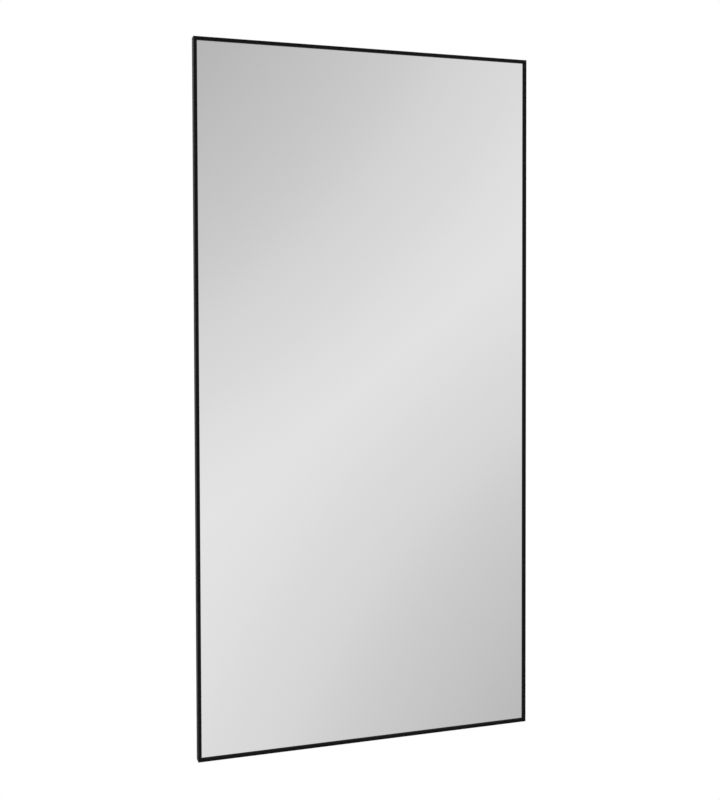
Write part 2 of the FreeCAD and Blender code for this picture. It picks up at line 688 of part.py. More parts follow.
def make_slide(level, side):
    """One full-extension slide and the base rail that carries it."""
    middle = f"{side} * slide_spacing / 2"
    mount_z = f"{side} * (slide_spacing / 2 + mount_offset)"
    rail = rectangle("-rail_length / 2", f"{middle} - rail_height / 2",
                     "rail_length / 2", f"{middle} + rail_height / 2")
    holes = [(f"{way} * mount_reach", mount_z, "mount_hole_radius") for way in (-1, 1)]
    holes += [(x, middle, "rivet_radius + screw_play") for x in RIVET_PLACES]
    base = plate(f"base_rail_{level}", rail, "0", "rail_sheet", holes, "rail_round")
    for way in (-1, 1):
        fold = f"{middle} + {way} * (rail_height - rail_sheet) / 2"
        flange = rectangle("rail_round - rail_length / 2", f"{fold} - rail_sheet / 2",
                           "rail_length / 2 - rail_round", f"{fold} + rail_sheet / 2")
        pad(base, "XZ_Plane", flange, "rail_sheet", "rail_flange - rail_sheet")

    channel = extrusion(f"outer_{level}_channel", OUTER_SECTION, "slide_start", "slide_length", middle)
    drills = [rod(f"outer_{level}_drill_{index}", "rivet_radius + screw_play", "slide_sheet", "y", x,
                  "slide_back", middle) for index, x in enumerate(RIVET_PLACES)]
    keep(cut(f"outer_{level}", channel, drills), f"slide_outer_{level}")
    rivets = [rod(f"rivet_{level}_{index}", "rivet_radius", "rail_sheet + slide_sheet", "y", x, "0",
                  middle) for index, x in enumerate(RIVET_PLACES)]

    bumper = block(f"bumper_{level}", "slide_start", "slide_back + slide_sheet",
                   f"{middle} - bumper_height / 2", "bumper_length",
                   "outer_depth - 2 * slide_sheet", "bumper_height")
    keep(bumper, f"rear_bumper_{level}")

    channel = extrusion(f"middle_{level}_channel", MIDDLE_SECTION, "member_start", "member_length",
                        middle)
    drills = [rod(f"middle_{level}_access_{way + 1}", "access_radius", "slide_sheet", "y",
                  f"{way} * access_reach", "slide_back + middle_set", middle) for way in (-1, 1)]
    keep(cut(f"middle_{level}", channel, drills), f"slide_middle_{level}")

    channel = extrusion(f"inner_{level}_channel", INNER_SECTION, "member_start", "member_length",
                        middle)
    web = "slide_back + slide_depth - slide_sheet"
    pilots = int(number("(member_length - 2 * pilot_start) / pilot_pitch")) + 1
    bores = [(x, "screw_radius + screw_play") for x in POST_SCREWS]
    bores += [(f"{way} * access_reach", "access_radius") for way in (-1, 1)]
    bores += [(f"slide_lead - pilot_start - {index} * pilot_pitch", "pilot_radius")
              for index in range(pilots)]
    drills = [rod(f"inner_{level}_drill_{index}", radius, "slide_sheet", "y", x, web, middle)
              for index, (x, radius) in enumerate(bores)]
    keep(cut(f"inner_{level}", channel, drills), f"slide_inner_{level}")

    make_cage("outer", level, middle, "slide_sheet + cage_gap", "outer_ball")
    make_cage("inner", level, middle, "middle_set + slide_sheet + cage_gap", "inner_ball")
    return rivets


def make_ties():
    """Two upright ties, welded edge to edge between the base rails."""
    for label, way in (("base_tie_front", -1), ("base_tie_rear", 1)):
        outline = rectangle(f"{way} * tie_spacing / 2 - tie_width / 2",
                            "-(slide_spacing - rail_height) / 2",
                            f"{way} * tie_spacing / 2 + tie_width / 2",
                            "(slide_spacing - rail_height) / 2")
        plate(label, outline, "0", "rail_sheet")


# ---------------------------------------------------------------- carriage

POST_SCREWS = ("(slide_lead + post_start) / 2", "rear_post_middle")
SLIDE_LEVELS = {"upper": 1, "lower": -1}


def make_posts():
    """Two upright tubes screwed across the inner members, the leading one for the hinge."""
    posts = {"leading_post": ("post_start", "post_width", POST_SCREWS[0]),
             "rear_post": ("rear_post_start", "rear_post_width", POST_SCREWS[1])}
    fixings = []
    nuts = []
    for label, (start, width, screw_x) in posts.items():
        solid = round_block(f"{label}_solid", start, "post_back", "-post_end", width, "post_depth",
                            "post_height", "post_round")
        hollow = round_block(f"{label}_hollow", f"{start} + post_wall", "post_back + post_wall",
                             "-post_end", f"{width} - 2 * post_wall", "post_depth - 2 * post_wall",
                             "post_height", "post_round - post_wall")
        drills = []
        for level, side in SLIDE_LEVELS.items():
            z = f"{side} * slide_spacing / 2"
            drills.append(rod(f"{label}_{level}_drill", "screw_radius + screw_play", "post_wall", "y",
                              screw_x, "post_back", z))
            fixings.append((screw_x, z, "post_back - slide_sheet"))
            nut = doc.addObject("Part::Prism", f"{label}_{level}_nut_solid")
            nut.Polygon = 6
            nut.setExpression("Circumradius", formula("nut_radius"))
            nut.setExpression("Height", formula("nut_thickness"))
            nut.Placement.Rotation = ALONG["y"]
            place(nut, screw_x, "post_back + post_wall", z)
            thread = rod(f"{label}_{level}_nut_bore", "screw_radius + screw_play", "nut_thickness", "y",
                         screw_x, "post_back + post_wall", z)
            nuts.append(cut(f"{label}_{level}_nut", nut, [thread]))
        if label == "rear_post":
            for index, (x, z) in enumerate(catch_screw_places()):
                drills.append(rod(f"catch_drill_{index}", "small_screw_radius + screw_play",
                                  "post_wall", "y", x, "post_front - post_wall", z))
        keep(cut(label, solid, [hollow] + drills), label)
    screws("carriage_screws", fixings, "large",
           "slide_sheet + post_wall + nut_thickness + shank_spare")
    keep(group("carriage_nuts_group", nuts), "carriage_nuts")


def make_plugs():
    """Moulded plugs that close the ends of the rear post."""
    made = []
    for level, side in SLIDE_LEVELS.items():
        head_low = "post_end" if side > 0 else "-post_end - plug_head"
        neck_low = "post_end - plug_depth" if side > 0 else "-post_end"
        inset = "post_wall + plug_play"
        cap = round_block(f"plug_{level}_cap", "rear_post_start", "post_back", head_low,
                          "rear_post_width", "post_depth", "plug_head", "post_round")
        neck = round_block(f"plug_{level}_neck", f"rear_post_start + {inset}", f"post_back + {inset}",
                           neck_low, f"rear_post_width - 2 * ({inset})",
                           f"post_depth - 2 * ({inset})", "plug_depth", "post_round - post_wall")
        made.append(fuse(f"plug_{level}", [cap, neck]))
    keep(group("rear_post_plugs_group", made), "rear_post_plugs")


def catch_screw_places():
    return [("rear_post_middle", f"{way} * (catch_height - catch_tab_height) / 2") for way in (-1, 1)]


def make_catch():
    """Magnetic catch on the rear post: a moulded housing with two disc magnets."""
    tall = "catch_height - 2 * catch_tab_height"
    left = "rear_post_middle - catch_width / 2"
    hump = block("catch_hump", left, "post_front", f"-({tall}) / 2", "catch_width",
                 "catch_front - post_front", tall)
    base = round_block("catch_base", left, "post_front", "-catch_height / 2", "catch_width",
                       "catch_tab", "catch_height", "catch_round", "y")
    pockets = []
    magnets = []
    for way in (-1, 1):
        z = f"{way} * magnet_spacing / 2"
        back = "catch_front + magnet_proud - magnet_thickness"
        pockets.append(rod(f"magnet_pocket_{way + 1}", "magnet_radius + screw_play", "magnet_thickness",
                           "y", "rear_post_middle", back, z))
        magnets.append(rod(f"magnet_{way + 1}", "magnet_radius", "magnet_thickness", "y",
                           "rear_post_middle", back, z))
    drills = [rod(f"catch_hole_{index}", "small_screw_radius + screw_play", "catch_tab", "y", x,
                  "post_front", z) for index, (x, z) in enumerate(catch_screw_places())]
    keep(cut("catch", fuse("catch_solid", [hump, base]), pockets + drills), "catch_housing")
    keep(group("magnets_group", magnets), "catch_magnets")
    screws("catch_screws", [(x, z, "post_front + catch_tab") for x, z in catch_screw_places()],
           "small", "catch_tab + post_wall", facing="front")


# ---------------------------------------------------------------- assembly

make_frame()
make_pane()
make_corners()
make_cross_rails()
make_strike()
screws("strike_screws", [(x, z, "strike_back") for x, z in strike_screw_places()], "small",
       "strike_sheet + cross_thickness")
stops = [make_hinge(level, side) for level, side in SLIDE_LEVELS.items()]
keep(group("stop_pins_group", stops), "stop_pins")
hinge_fixings = [(x, z, "leaf_back") for side in (1, -1) for x, z in leaf_screw_places(side)]
screws("hinge_screws", hinge_fixings, "large", "arm_thickness + cross_thickness")
rivets = []
for level, side in SLIDE_LEVELS.items():
    rivets += make_slide(level, side)
keep(group("rivets_group", rivets), "slide_rivets")
make_ties()
make_posts()
make_plugs()
make_catch()

doc.recompute()
for piece in doc.Objects:
    if "Invalid" in piece.State or "Error" in piece.State:
        raise RuntimeError(f"{piece.Name} didn't build: {piece.State}")
for piece in nodes:
    if piece.Shape.isNull() or not piece.Shape.isValid():
        raise RuntimeError(f"{piece.Label} has no sound shape")

os.makedirs("parts", exist_ok=True)
for piece in nodes:
    piece.Shape.exportStep(f"parts/{piece.Label}.step")
    print(f"{piece.Label}: {len(piece.Shape.Solids)} solid, {piece.Shape.Volume:.1f} mm3")
print(f"{len(nodes)} nodes")
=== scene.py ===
import json
import math

import bmesh
import bpy
from mathutils import Matrix, Vector

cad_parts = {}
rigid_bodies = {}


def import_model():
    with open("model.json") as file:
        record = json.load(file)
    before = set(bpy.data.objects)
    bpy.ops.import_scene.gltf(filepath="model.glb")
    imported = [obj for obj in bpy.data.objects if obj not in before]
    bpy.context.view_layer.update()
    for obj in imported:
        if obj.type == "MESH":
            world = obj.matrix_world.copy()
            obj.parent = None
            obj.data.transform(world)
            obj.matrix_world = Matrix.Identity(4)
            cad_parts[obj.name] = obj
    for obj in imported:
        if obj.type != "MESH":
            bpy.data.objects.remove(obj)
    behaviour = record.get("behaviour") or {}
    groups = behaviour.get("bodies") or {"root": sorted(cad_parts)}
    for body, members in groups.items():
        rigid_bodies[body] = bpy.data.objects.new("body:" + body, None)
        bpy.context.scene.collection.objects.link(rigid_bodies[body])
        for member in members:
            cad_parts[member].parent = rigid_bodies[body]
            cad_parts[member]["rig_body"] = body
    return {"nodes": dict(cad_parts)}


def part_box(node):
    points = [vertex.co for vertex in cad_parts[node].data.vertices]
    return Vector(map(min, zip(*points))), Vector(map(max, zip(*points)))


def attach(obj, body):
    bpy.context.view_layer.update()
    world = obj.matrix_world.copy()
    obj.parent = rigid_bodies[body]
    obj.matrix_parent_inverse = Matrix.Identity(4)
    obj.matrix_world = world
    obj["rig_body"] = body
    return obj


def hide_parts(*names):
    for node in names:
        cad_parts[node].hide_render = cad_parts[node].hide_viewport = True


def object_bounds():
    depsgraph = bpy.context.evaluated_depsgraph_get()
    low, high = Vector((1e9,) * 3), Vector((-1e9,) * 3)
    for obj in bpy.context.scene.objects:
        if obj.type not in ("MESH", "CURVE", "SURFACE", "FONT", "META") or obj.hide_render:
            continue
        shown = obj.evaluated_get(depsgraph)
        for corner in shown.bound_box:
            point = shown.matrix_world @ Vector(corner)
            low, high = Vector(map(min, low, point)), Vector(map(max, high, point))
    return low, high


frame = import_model()
cad_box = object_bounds()

# ------------------------------------------------------------ base rails
# Two channels folded from 2 mm steel, punched for four mounting screws and the slides' rivets.
# They are powder coated black and lie against the inside of the closet's side panel.

MM = 0.001
POWDER_BLACK = "#191919"
POWDER_LIGHT = "#232322"
WORN_STEEL = "#66645F"
ORANGE_PEEL = 2.4          # mm between bumps; real powder coat has about 1 mm, too fine to show
COAT_CLOUD = 60            # mm across the slow changes in sheen that a spray gun leaves
RUB_PATCH = 14             # mm across the patches where the coat is rubbed thin
RUB_REACH = 1.1 * MM       # how far from an edge it is rubbed
BEND_RADIUS = 1.5 * MM     # outside radius of a fold, as tight as 2 mm and 3 mm sheet is folded
BEND_FACETS = 5
LONG_EDGE = 100 * MM       # a rail's folds are longer than this, and its end outlines are shorter
EDGE = 0.25 * MM           # what deburring takes off a cut edge
ONE_POINT = 0.002 * MM     # points nearer to each other than this are one
IN_LINE = 0.01 * MM        # a point nearer to a line or face than this lies in it
FLAT = math.radians(0.5)   # faces that turn less than this are parts of one flat face
SHARP = math.radians(40)   # an edge that turns more than this has a burr to take off
CREASE = math.radians(50)  # an edge that turns more than this isn't shaded smoothly


def linear(code):
    """A colour written as sRGB hex, as the linear colour that a shader works with."""
    parts = [int(code[start:start + 2], 16) / 255 for start in (1, 3, 5)]
    return [part / 12.92 if part <= 0.04045 else ((part + 0.055) / 1.055) ** 2.4
            for part in parts] + [1.0]


def per(size):
    """A pattern's scale, from the real size of one of its marks in millimetres."""
    return 1 / (size * MM)


def add(tree, kind, inputs=None, stops=None, **options):
    """Add a shader node: options are its settings, inputs are values or the sockets that feed it."""
    made = tree.nodes.new("ShaderNode" + kind)
    for name, value in options.items():
        setattr(made, name, value)
    for name, value in (inputs or {}).items():
        if isinstance(value, bpy.types.NodeSocket):
            tree.links.new(value, made.inputs[name])
        else:
            made.inputs[name].default_value = value
    for index, (position, colour) in enumerate(stops or ()):
        ramp = made.color_ramp.elements
        stop = ramp[index] if index < 2 else ramp.new(position)
        stop.position = position
        stop.color = linear(colour) if isinstance(colour, str) else (colour, colour, colour, 1)
    return made


def finish_named(name, roughness=None, metallic=0.0):
    """A new material: its tree, its surface shader, and the place on the piece that patterns follow."""
    material = bpy.data.materials.new(name)
    material.use_nodes = True
    tree = material.node_tree
    shader = tree.nodes["Principled BSDF"]
    shader.inputs["Metallic"].default_value = metallic
    if roughness is not None:
        shader.inputs["Roughness"].default_value = roughness
    return material, tree, shader, add(tree, "TexCoord").outputs["Object"]


def feed(shader, colour, roughness, relief):
    """Join a surface shader to the sockets that give its colour and roughness, and to its bump."""
    links = shader.id_data.links
    links.new(colour, shader.inputs["Base Color"])
    links.new(roughness, shader.inputs["Roughness"])
    links.new(relief.outputs["Normal"], shader.inputs["Normal"])


def dress(piece, material):
    """Give a piece one material in place of any it has."""
    piece.data.materials.clear()
    piece.data.materials.append(material)


def smooth(piece):
    """Shade a piece smoothly over its rounded edges, with its flat faces kept flat."""
    piece.data.shade_smooth()
    piece.data.set_sharp_from_angle(angle=CREASE)
    flat = piece.modifiers.new("flat_faces", "WEIGHTED_NORMAL")
    flat.weight = 100
    flat.keep_sharp = True


def stand_for(piece, name, material):
    """Put a piece in a node's place: it rides on the node's body and takes its finish."""
    dress(piece, material)
    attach(piece, frame["nodes"][name]["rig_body"])
    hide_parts(name)


def new_piece(name, work):
    """An object from a finished bmesh."""
    mesh = bpy.data.meshes.new(name)
    bmesh.ops.recalc_face_normals(work, faces=work.faces)
    work.to_mesh(mesh)
    work.free()
    piece = bpy.data.objects.new(name, mesh)
    bpy.context.scene.collection.objects.link(piece)
    return piece


def welded(name):
    """A node's own shape as a bmesh, with the points that lie on each other made one."""
    work = bmesh.new()
    work.from_mesh(frame["nodes"][name].data)
    bmesh.ops.remove_doubles(work, verts=work.verts[:], dist=ONE_POINT)
    return work


def flat_sided(name):
    """A node's own shape as a bmesh, with each flat face whole again."""
    work = welded(name)
    bmesh.ops.dissolve_limit(work, angle_limit=FLAT, verts=work.verts[:], edges=work.edges[:])
    return work


def deburred(name, material, width=EDGE, bend=None, square_ends=False):
    """A node's shape with its cut edges broken, and the folds that bend picks given their radius.

    With square_ends a fold's radius ends square where the sheet goes on past the fold.
    """
    work = flat_sided(name)
    ends = []
    if bend:
        folds = [edge for edge in work.edges if bend(edge.verts[0].co, edge.verts[1].co)]
        if square_ends:
            ends = [(point.co.copy(), (fold.other_vert(point).co - point.co).normalized())
                    for fold in folds for point in fold.verts]
            for place, run in ends:
                bmesh.ops.bisect_plane(work, geom=work.verts[:] + work.edges[:] + work.faces[:],
                                       dist=ONE_POINT, plane_co=place, plane_no=run)
            folds = [edge for edge in work.edges if bend(edge.verts[0].co, edge.verts[1].co)]
        bmesh.ops.bevel(work, geom=folds, offset=BEND_RADIUS, segments=BEND_FACETS, profile=0.5,
                        affect="EDGES")

    def at_fold_end(edge):
        return any(all(abs((point.co - place).dot(run)) < IN_LINE
                       and (point.co - place).length < 1.1 * BEND_RADIUS for point in edge.verts)
                   for place, run in ends)

    cut = [edge for edge in work.edges
           if edge.is_manifold and edge.calc_face_angle() > SHARP and not at_fold_end(edge)]
    bmesh.ops.bevel(work, geom=cut, offset=width, segments=2, profile=0.5, affect="EDGES")
    bmesh.ops.remove_doubles(work, verts=work.verts[:], dist=ONE_POINT)
    piece = new_piece(f"{name}_shell", work)
    smooth(piece)
    stand_for(piece, name, material)


def powder_coat():
    """Black polyester powder on steel: a dull sheen over fine dimples, rubbed thin on the edges."""
    material, tree, shader, where = finish_named("steel_powder_coated_black")
    cloud = add(tree, "TexNoise", {"Vector": where, "Scale": per(COAT_CLOUD), "Detail": 3.0})
    coat = add(tree, "ValToRGB", {"Fac": cloud.outputs["Fac"]},
               [(0.35, POWDER_BLACK), (0.7, POWDER_LIGHT)])
    rounded = add(tree, "Bevel", {"Radius": RUB_REACH}, samples=4)
    facing = add(tree, "VectorMath", {0: rounded.outputs["Normal"],
                                      1: add(tree, "NewGeometry").outputs["Normal"]},
                 operation="DOT_PRODUCT")
    patch = add(tree, "TexNoise", {"Vector": where, "Scale": per(RUB_PATCH), "Detail": 4.0})
    edge = add(tree, "MapRange", {"Value": facing.outputs["Value"],
                                  "From Min": 0.985, "From Max": 0.86})
    rubbed = add(tree, "MapRange", {"Value": patch.outputs["Fac"], "From Min": 0.46, "From Max": 0.62})
    wear = add(tree, "Math", {0: edge.outputs["Result"], 1: rubbed.outputs["Result"]},
               operation="MULTIPLY", use_clamp=True)
    colour = add(tree, "MixRGB", {"Fac": wear.outputs["Value"], "Color1": coat.outputs["Color"],
                                  "Color2": linear(WORN_STEEL)})
    sheen = add(tree, "MapRange", {"Value": cloud.outputs["Fac"], "To Min": 0.32, "To Max": 0.48})
    peel = add(tree, "TexNoise", {"Vector": where, "Scale": per(ORANGE_PEEL), "Detail": 2.0})
    bump = add(tree, "Bump", {"Height": peel.outputs["Fac"], "Strength": 0.8, "Distance": 0.22 * MM})
    feed(shader, colour.outputs["Color"], sheen.outputs["Result"], bump)
    shader.inputs["Specular IOR Level"].default_value = 0.45
    return material


powder_black = powder_coat()


def rail_folds(name):
    """Picks the outer lines of a base rail's two folds."""
    low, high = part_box(name)
    middle = (low.z + high.z) / 2
    half = (high.z - low.z) / 2

    def picks(start, end):
        straight = abs(start.y - end.y) + abs(start.z - end.z) < IN_LINE
        outer = abs(start.y - high.y) < IN_LINE and abs(abs(start.z - middle) - half) < IN_LINE
        return straight and outer and abs(start.x - end.x) > LONG_EDGE
    return picks


for level in ("upper", "lower"):
    rail = f"base_rail_{level}"
    deburred(rail, powder_black, bend=rail_folds(rail), square_ends=True)

# ------------------------------------------------------------ base ties
# Two flat steel bars that hold the base rails apart. Each end is welded to a rail's folded edge
# with one short fillet bead, and the whole base is powder coated after welding.

BEAD_LEG = 2.6 * MM
BEAD_SHORT = 3 * MM        # the bead stops this far from the tie's edges
RIPPLE = 1.5 * MM          # between the ripples that the torch leaves
RIPPLE_DEPTH = 0.1         # of the bead's leg
BEAD_STEPS = 6             # sections in one ripple
BEAD_FACETS = 7
BEAD_HOLLOW = 0.22         # how far the bead's face bows in, of its leg
BEAD_TAPER = 4             # how soon the bead has its full size
BEAD_BLUNT = 0.004         # how blunt its ends are
BACKWARD = Vector((0, 1, 0))


def bridge(work, rings):
    """Faces from each ring of points to the next; a ring of one point closes an end."""
    for before, after in zip(rings, rings[1:]):
        steps = max(len(before), len(after))
        for index in range(steps):
            follow = (index + 1) % steps
            corners = [before[index % len(before)], before[follow % len(before)],
                       after[follow % len(after)], after[index % len(after)]]
            work.faces.new([vertex for place, vertex in enumerate(corners)
                            if vertex not in corners[:place]])


def weld_bead(name, start, end, out, up):
    """A rippled fillet bead from start to end, in the corner between the directions out and up."""
    work = bmesh.new()
    run = end - start
    count = round(run.length / RIPPLE) * BEAD_STEPS
    rings = []
    for index in range(count + 1):
        share = index / count
        root = start + run * share
        swell = 1 - RIPPLE_DEPTH * (1 - abs(math.sin(math.pi * index / BEAD_STEPS)))
        taper = min(1.0, BEAD_TAPER * math.sqrt(min(share, 1 - share) + BEAD_BLUNT))
        leg = BEAD_LEG * swell * taper
        ring = [work.verts.new(root)]
        for facet in range(BEAD_FACETS):
            turn = facet / (BEAD_FACETS - 1) * math.pi / 2
            reach = leg * (1 - BEAD_HOLLOW * math.sin(2 * turn))
            ring.append(work.verts.new(root + (out * math.cos(turn) + up * math.sin(turn)) * reach))
        rings.append(ring)
    bridge(work, rings)
    work.faces.new(rings[0])
    work.faces.new(rings[-1])
    return new_piece(name, work)


for label in ("front", "rear"):
    tie = f"base_tie_{label}"
    deburred(tie, powder_black)
    low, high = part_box(tie)
    for level, side in (("upper", 1), ("lower", -1)):
        corner = high.z if side > 0 else low.z
        bead = weld_bead(f"weld_bead_{label}_{level}", Vector((low.x + BEAD_SHORT, low.y, corner)),
                         Vector((high.x - BEAD_SHORT, low.y, corner)), -BACKWARD,
                         Vector((0, 0, -side)))
        smooth(bead)
        dress(bead, powder_black)
        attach(bead, "base")

# ------------------------------------------------------------ slide members
# Three nested channels in each slide, roll formed from cold rolled strip and zinc plated. Rolling
# leaves fine lines along them, and the balls polish a narrow track in each flange.

ZINC = "#B7BABC"
ZINC_DULL = "#A8ABAD"
ZINC_BLUE = "#AEB6BC"      # the cool tint of a clear passivated zinc
ROLL_LINE = 1.1            # mm between rolling lines; real ones are about 0.3 mm, too fine to show
ROLL_LENGTH = 90           # mm that one line runs
ZINC_CLOUD = 45            # mm across the cloudy patches of the plating
TRACK_HALF = 1.1 * MM      # half the width of a polished ball track
TRACK_POLISH = 0.12        # the track's roughness
ROLLED_EDGE = 0.15 * MM
balls_low, balls_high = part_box("outer_balls_upper")
TRACK_Y = (balls_low.y + balls_high.y) / 2


def zinc_plate(name, along, track=False):
    """Zinc plating on rolled strip: a cool, slightly cloudy grey metal with lines along the strip."""
    material, tree, shader, where = finish_named(name, metallic=1.0)
    stretch = [per(ROLL_LENGTH) if axis == along else per(ROLL_LINE) for axis in "xyz"]
    line_place = add(tree, "Mapping", {"Vector": where, "Scale": stretch})
    lines = add(tree, "TexNoise", {"Vector": line_place.outputs["Vector"], "Scale": 1.0, "Detail": 3.0})
    cloud = add(tree, "TexNoise", {"Vector": where, "Scale": per(ZINC_CLOUD), "Detail": 3.0})
    tone = add(tree, "ValToRGB", {"Fac": cloud.outputs["Fac"]},
               [(0.3, ZINC_DULL), (0.52, ZINC), (0.75, ZINC_BLUE)])
    streak = add(tree, "MapRange", {"Value": lines.outputs["Fac"], "From Min": 0.3, "From Max": 0.7,
                                    "To Min": 0.82, "To Max": 1.0})
    colour = add(tree, "MixRGB", {"Fac": 1.0, "Color1": tone.outputs["Color"],
                                  "Color2": streak.outputs["Result"]}, blend_type="MULTIPLY")
    dull = add(tree, "MapRange", {"Value": lines.outputs["Fac"], "From Min": 0.3, "From Max": 0.7,
                                  "To Min": 0.24, "To Max": 0.4})
    roughness = dull.outputs["Result"]
    if track:
        depth = add(tree, "SeparateXYZ", {"Vector": where}).outputs["Y"]
        off = add(tree, "Math", {0: depth, 1: TRACK_Y}, operation="SUBTRACT")
        away = add(tree, "Math", {0: off.outputs["Value"]}, operation="ABSOLUTE")
        rolled = add(tree, "MapRange", {"Value": away.outputs["Value"], "From Min": TRACK_HALF,
                                        "From Max": 0.6 * TRACK_HALF, "To Min": 0.0, "To Max": 1.0})
        polish = add(tree, "MixRGB", {"Fac": rolled.outputs["Result"], "Color1": roughness,
                                      "Color2": (TRACK_POLISH, TRACK_POLISH, TRACK_POLISH, 1)})
        roughness = polish.outputs["Color"]
    bump = add(tree, "Bump", {"Height": lines.outputs["Fac"], "Strength": 0.25, "Distance": 0.03 * MM})
    feed(shader, colour.outputs["Color"], roughness, bump)
    return material


zinc_track = zinc_plate("steel_strip_zinc_plated_rolled", "x", track=True)
zinc_plain = zinc_plate("steel_plate_zinc_plated", "z")
for level in ("upper", "lower"):
    for member in ("outer", "middle", "inner"):
        deburred(f"slide_{member}_{level}", zinc_track, width=ROLLED_EDGE)

# ------------------------------------------------------------ slide rivets
# Six solid steel rivets that fix the outer members to the base rails, set flush on both faces by a
# press, which leaves a shallow ring round each head. Zinc plated.

SCREW_ZINC = "#A8ABAD"
SCREW_DARK = "#7E8183"
THIN_SPOT = 2.5            # mm across the spots where the plating is thin
TURNED_STEPS = 24          # facets round a turned piece
RIVET_RING = 0.12 * MM     # depth of the press's ring, and of the rim's rounding
# A rivet's end from its middle outwards: shares of its radius, and the depth in rings there.
RIVET_END = [(0, 0), (0.62, 0), (0.7, 1), (0.8, 0), (0.94, 0), (1, 1)]


def plated_fastener():
    """Bright zinc on cold headed steel: smooth, a little uneven, darker where the plating is thin."""
    material, tree, shader, where = finish_named("steel_fastener_zinc_plated", metallic=1.0)
    spots = add(tree, "TexNoise", {"Vector": where, "Scale": per(THIN_SPOT), "Detail": 4.0})
    tone = add(tree, "ValToRGB", {"Fac": spots.outputs["Fac"]},
               [(0.32, SCREW_DARK), (0.55, SCREW_ZINC)])
    dull = add(tree, "MapRange", {"Value": spots.outputs["Fac"], "To Min": 0.4, "To Max": 0.2})
    bump = add(tree, "Bump", {"Height": spots.outputs["Fac"], "Strength": 0.15, "Distance": 0.04 * MM})
    feed(shader, tone.outputs["Color"], dull.outputs["Result"], bump)
    return material


def turned(work, profile, centre, out):
    """Turn a profile of (radius, height, sides) about a line; sides of 6 give a hexagon."""
    across = out.orthogonal().normalized()
    other = out.cross(across)
    rings = []
    for radius, height, sides in profile:
        if radius == 0:
            rings.append([work.verts.new(centre + out * height)])
            continue
        ring = []
        for index in range(TURNED_STEPS):
            turn = 2 * math.pi * index / TURNED_STEPS
            reach = radius
            if sides == 6:
                reach = radius / math.cos(turn % (math.pi / 3) - math.pi / 6)
            ring.append(work.verts.new(centre + out * height
                                       + (across * math.cos(turn) + other * math.sin(turn)) * reach))
        rings.append(ring)
    bridge(work, rings)


def solids(name):
    """The points of each separate solid in a node."""
    work = welded(name)
    left = set(work.verts)
    found = []
    while left:
        edge_of = [left.pop()]
        points = []
        while edge_of:
            vertex = edge_of.pop()
            points.append(vertex.co.copy())
            for edge in vertex.link_edges:
                other = edge.other_vert(vertex)
                if other in left:
                    left.remove(other)
                    edge_of.append(other)
        found.append(points)
    work.free()
    return sorted(found, key=lambda points: tuple(round(sum(point[axis] for point in points), 5)
                                                  for axis in (0, 2)))


def span(points):
    """The lowest and highest corners of a solid's box."""
    low = Vector([min(point[axis] for point in points) for axis in range(3)])
    high = Vector([max(point[axis] for point in points) for axis in range(3)])
    return low, high


plated = plated_fastener()
work = bmesh.new()
for points in solids("slide_rivets"):
    low, high = span(points)
    radius = (high.x - low.x) / 2
    long = high.y - low.y
    end = [(share * radius, depth * RIVET_RING) for share, depth in RIVET_END]
    front = [(reach, long - dip, 0) for reach, dip in end]
    back = [(reach, dip, 0) for reach, dip in reversed(end)]
    foot = Vector(((low.x + high.x) / 2, high.y, (low.z + high.z) / 2))
    turned(work, front + back, foot, -BACKWARD)
rivets = new_piece("slide_rivets_pressed", work)
smooth(rivets)
stand_for(rivets, "slide_rivets", plated)

# ------------------------------------------------------------ rear bumpers
# A moulded rubber block in the back end of each outer member, which the other members run against.
# Its face has three soft ribs. The block is pressed in between the flanges.

RUBBER = "#232323"
RUBBER_BLOOM = "#2F2E2C"
BLOOM = 9                  # mm across the patches of bloom
MOULD_GRIT = 0.8           # mm; the real grit is about 0.1 mm, too fine to show
RIBS = 3
RIB_DIP = 1.6 * MM
RIB_FULL = 0.7             # under 1 the ribs are broad and the dips narrow
RIB_STEPS = 12
BUMPER_EDGE = 0.5 * MM


def moulded_rubber():
    """Black rubber from a mould: quite matt, with a faint grey bloom."""
    material, tree, shader, where = finish_named("rubber_moulded")
    bloom = add(tree, "TexNoise", {"Vector": where, "Scale": per(BLOOM), "Detail": 6.0})
    tone = add(tree, "ValToRGB", {"Fac": bloom.outputs["Fac"]}, [(0.4, RUBBER), (0.75, RUBBER_BLOOM)])
    dull = add(tree, "MapRange", {"Value": bloom.outputs["Fac"], "To Min": 0.7, "To Max": 0.9})
    grit = add(tree, "TexNoise", {"Vector": where, "Scale": per(MOULD_GRIT), "Detail": 2.0})
    bump = add(tree, "Bump", {"Height": grit.outputs["Fac"], "Strength": 0.3, "Distance": 0.05 * MM})
    feed(shader, tone.outputs["Color"], dull.outputs["Result"], bump)
    return material


rubber = moulded_rubber()
for level in ("upper", "lower"):
    name = f"rear_bumper_{level}"
    low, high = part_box(name)
    outline = [(low.x, low.z), (high.x - RIB_DIP, low.z)]
    for index in range(1, RIBS * RIB_STEPS):
        share = index / (RIBS * RIB_STEPS)
        dip = RIB_DIP * (1 - abs(math.sin(math.pi * RIBS * share)) ** RIB_FULL)
        outline.append((high.x - dip, low.z + (high.z - low.z) * share))
    outline += [(high.x - RIB_DIP, high.z), (low.x, high.z)]
    work = bmesh.new()
    sides = [[work.verts.new((x, y, z)) for x, z in outline] for y in (low.y, high.y)]
    for side in sides:
        work.faces.new(side)
    bridge(work, sides)
    bmesh.ops.recalc_face_normals(work, faces=work.faces)
    sharp = [edge for edge in work.edges if edge.calc_face_angle() > CREASE]
    bmesh.ops.bevel(work, geom=sharp, offset=BUMPER_EDGE, segments=3, profile=0.5, affect="EDGES",
                    clamp_overlap=True)
    bumper = new_piece(f"{name}_ribbed", work)
    smooth(bumper)
    stand_for(bumper, name, rubber)

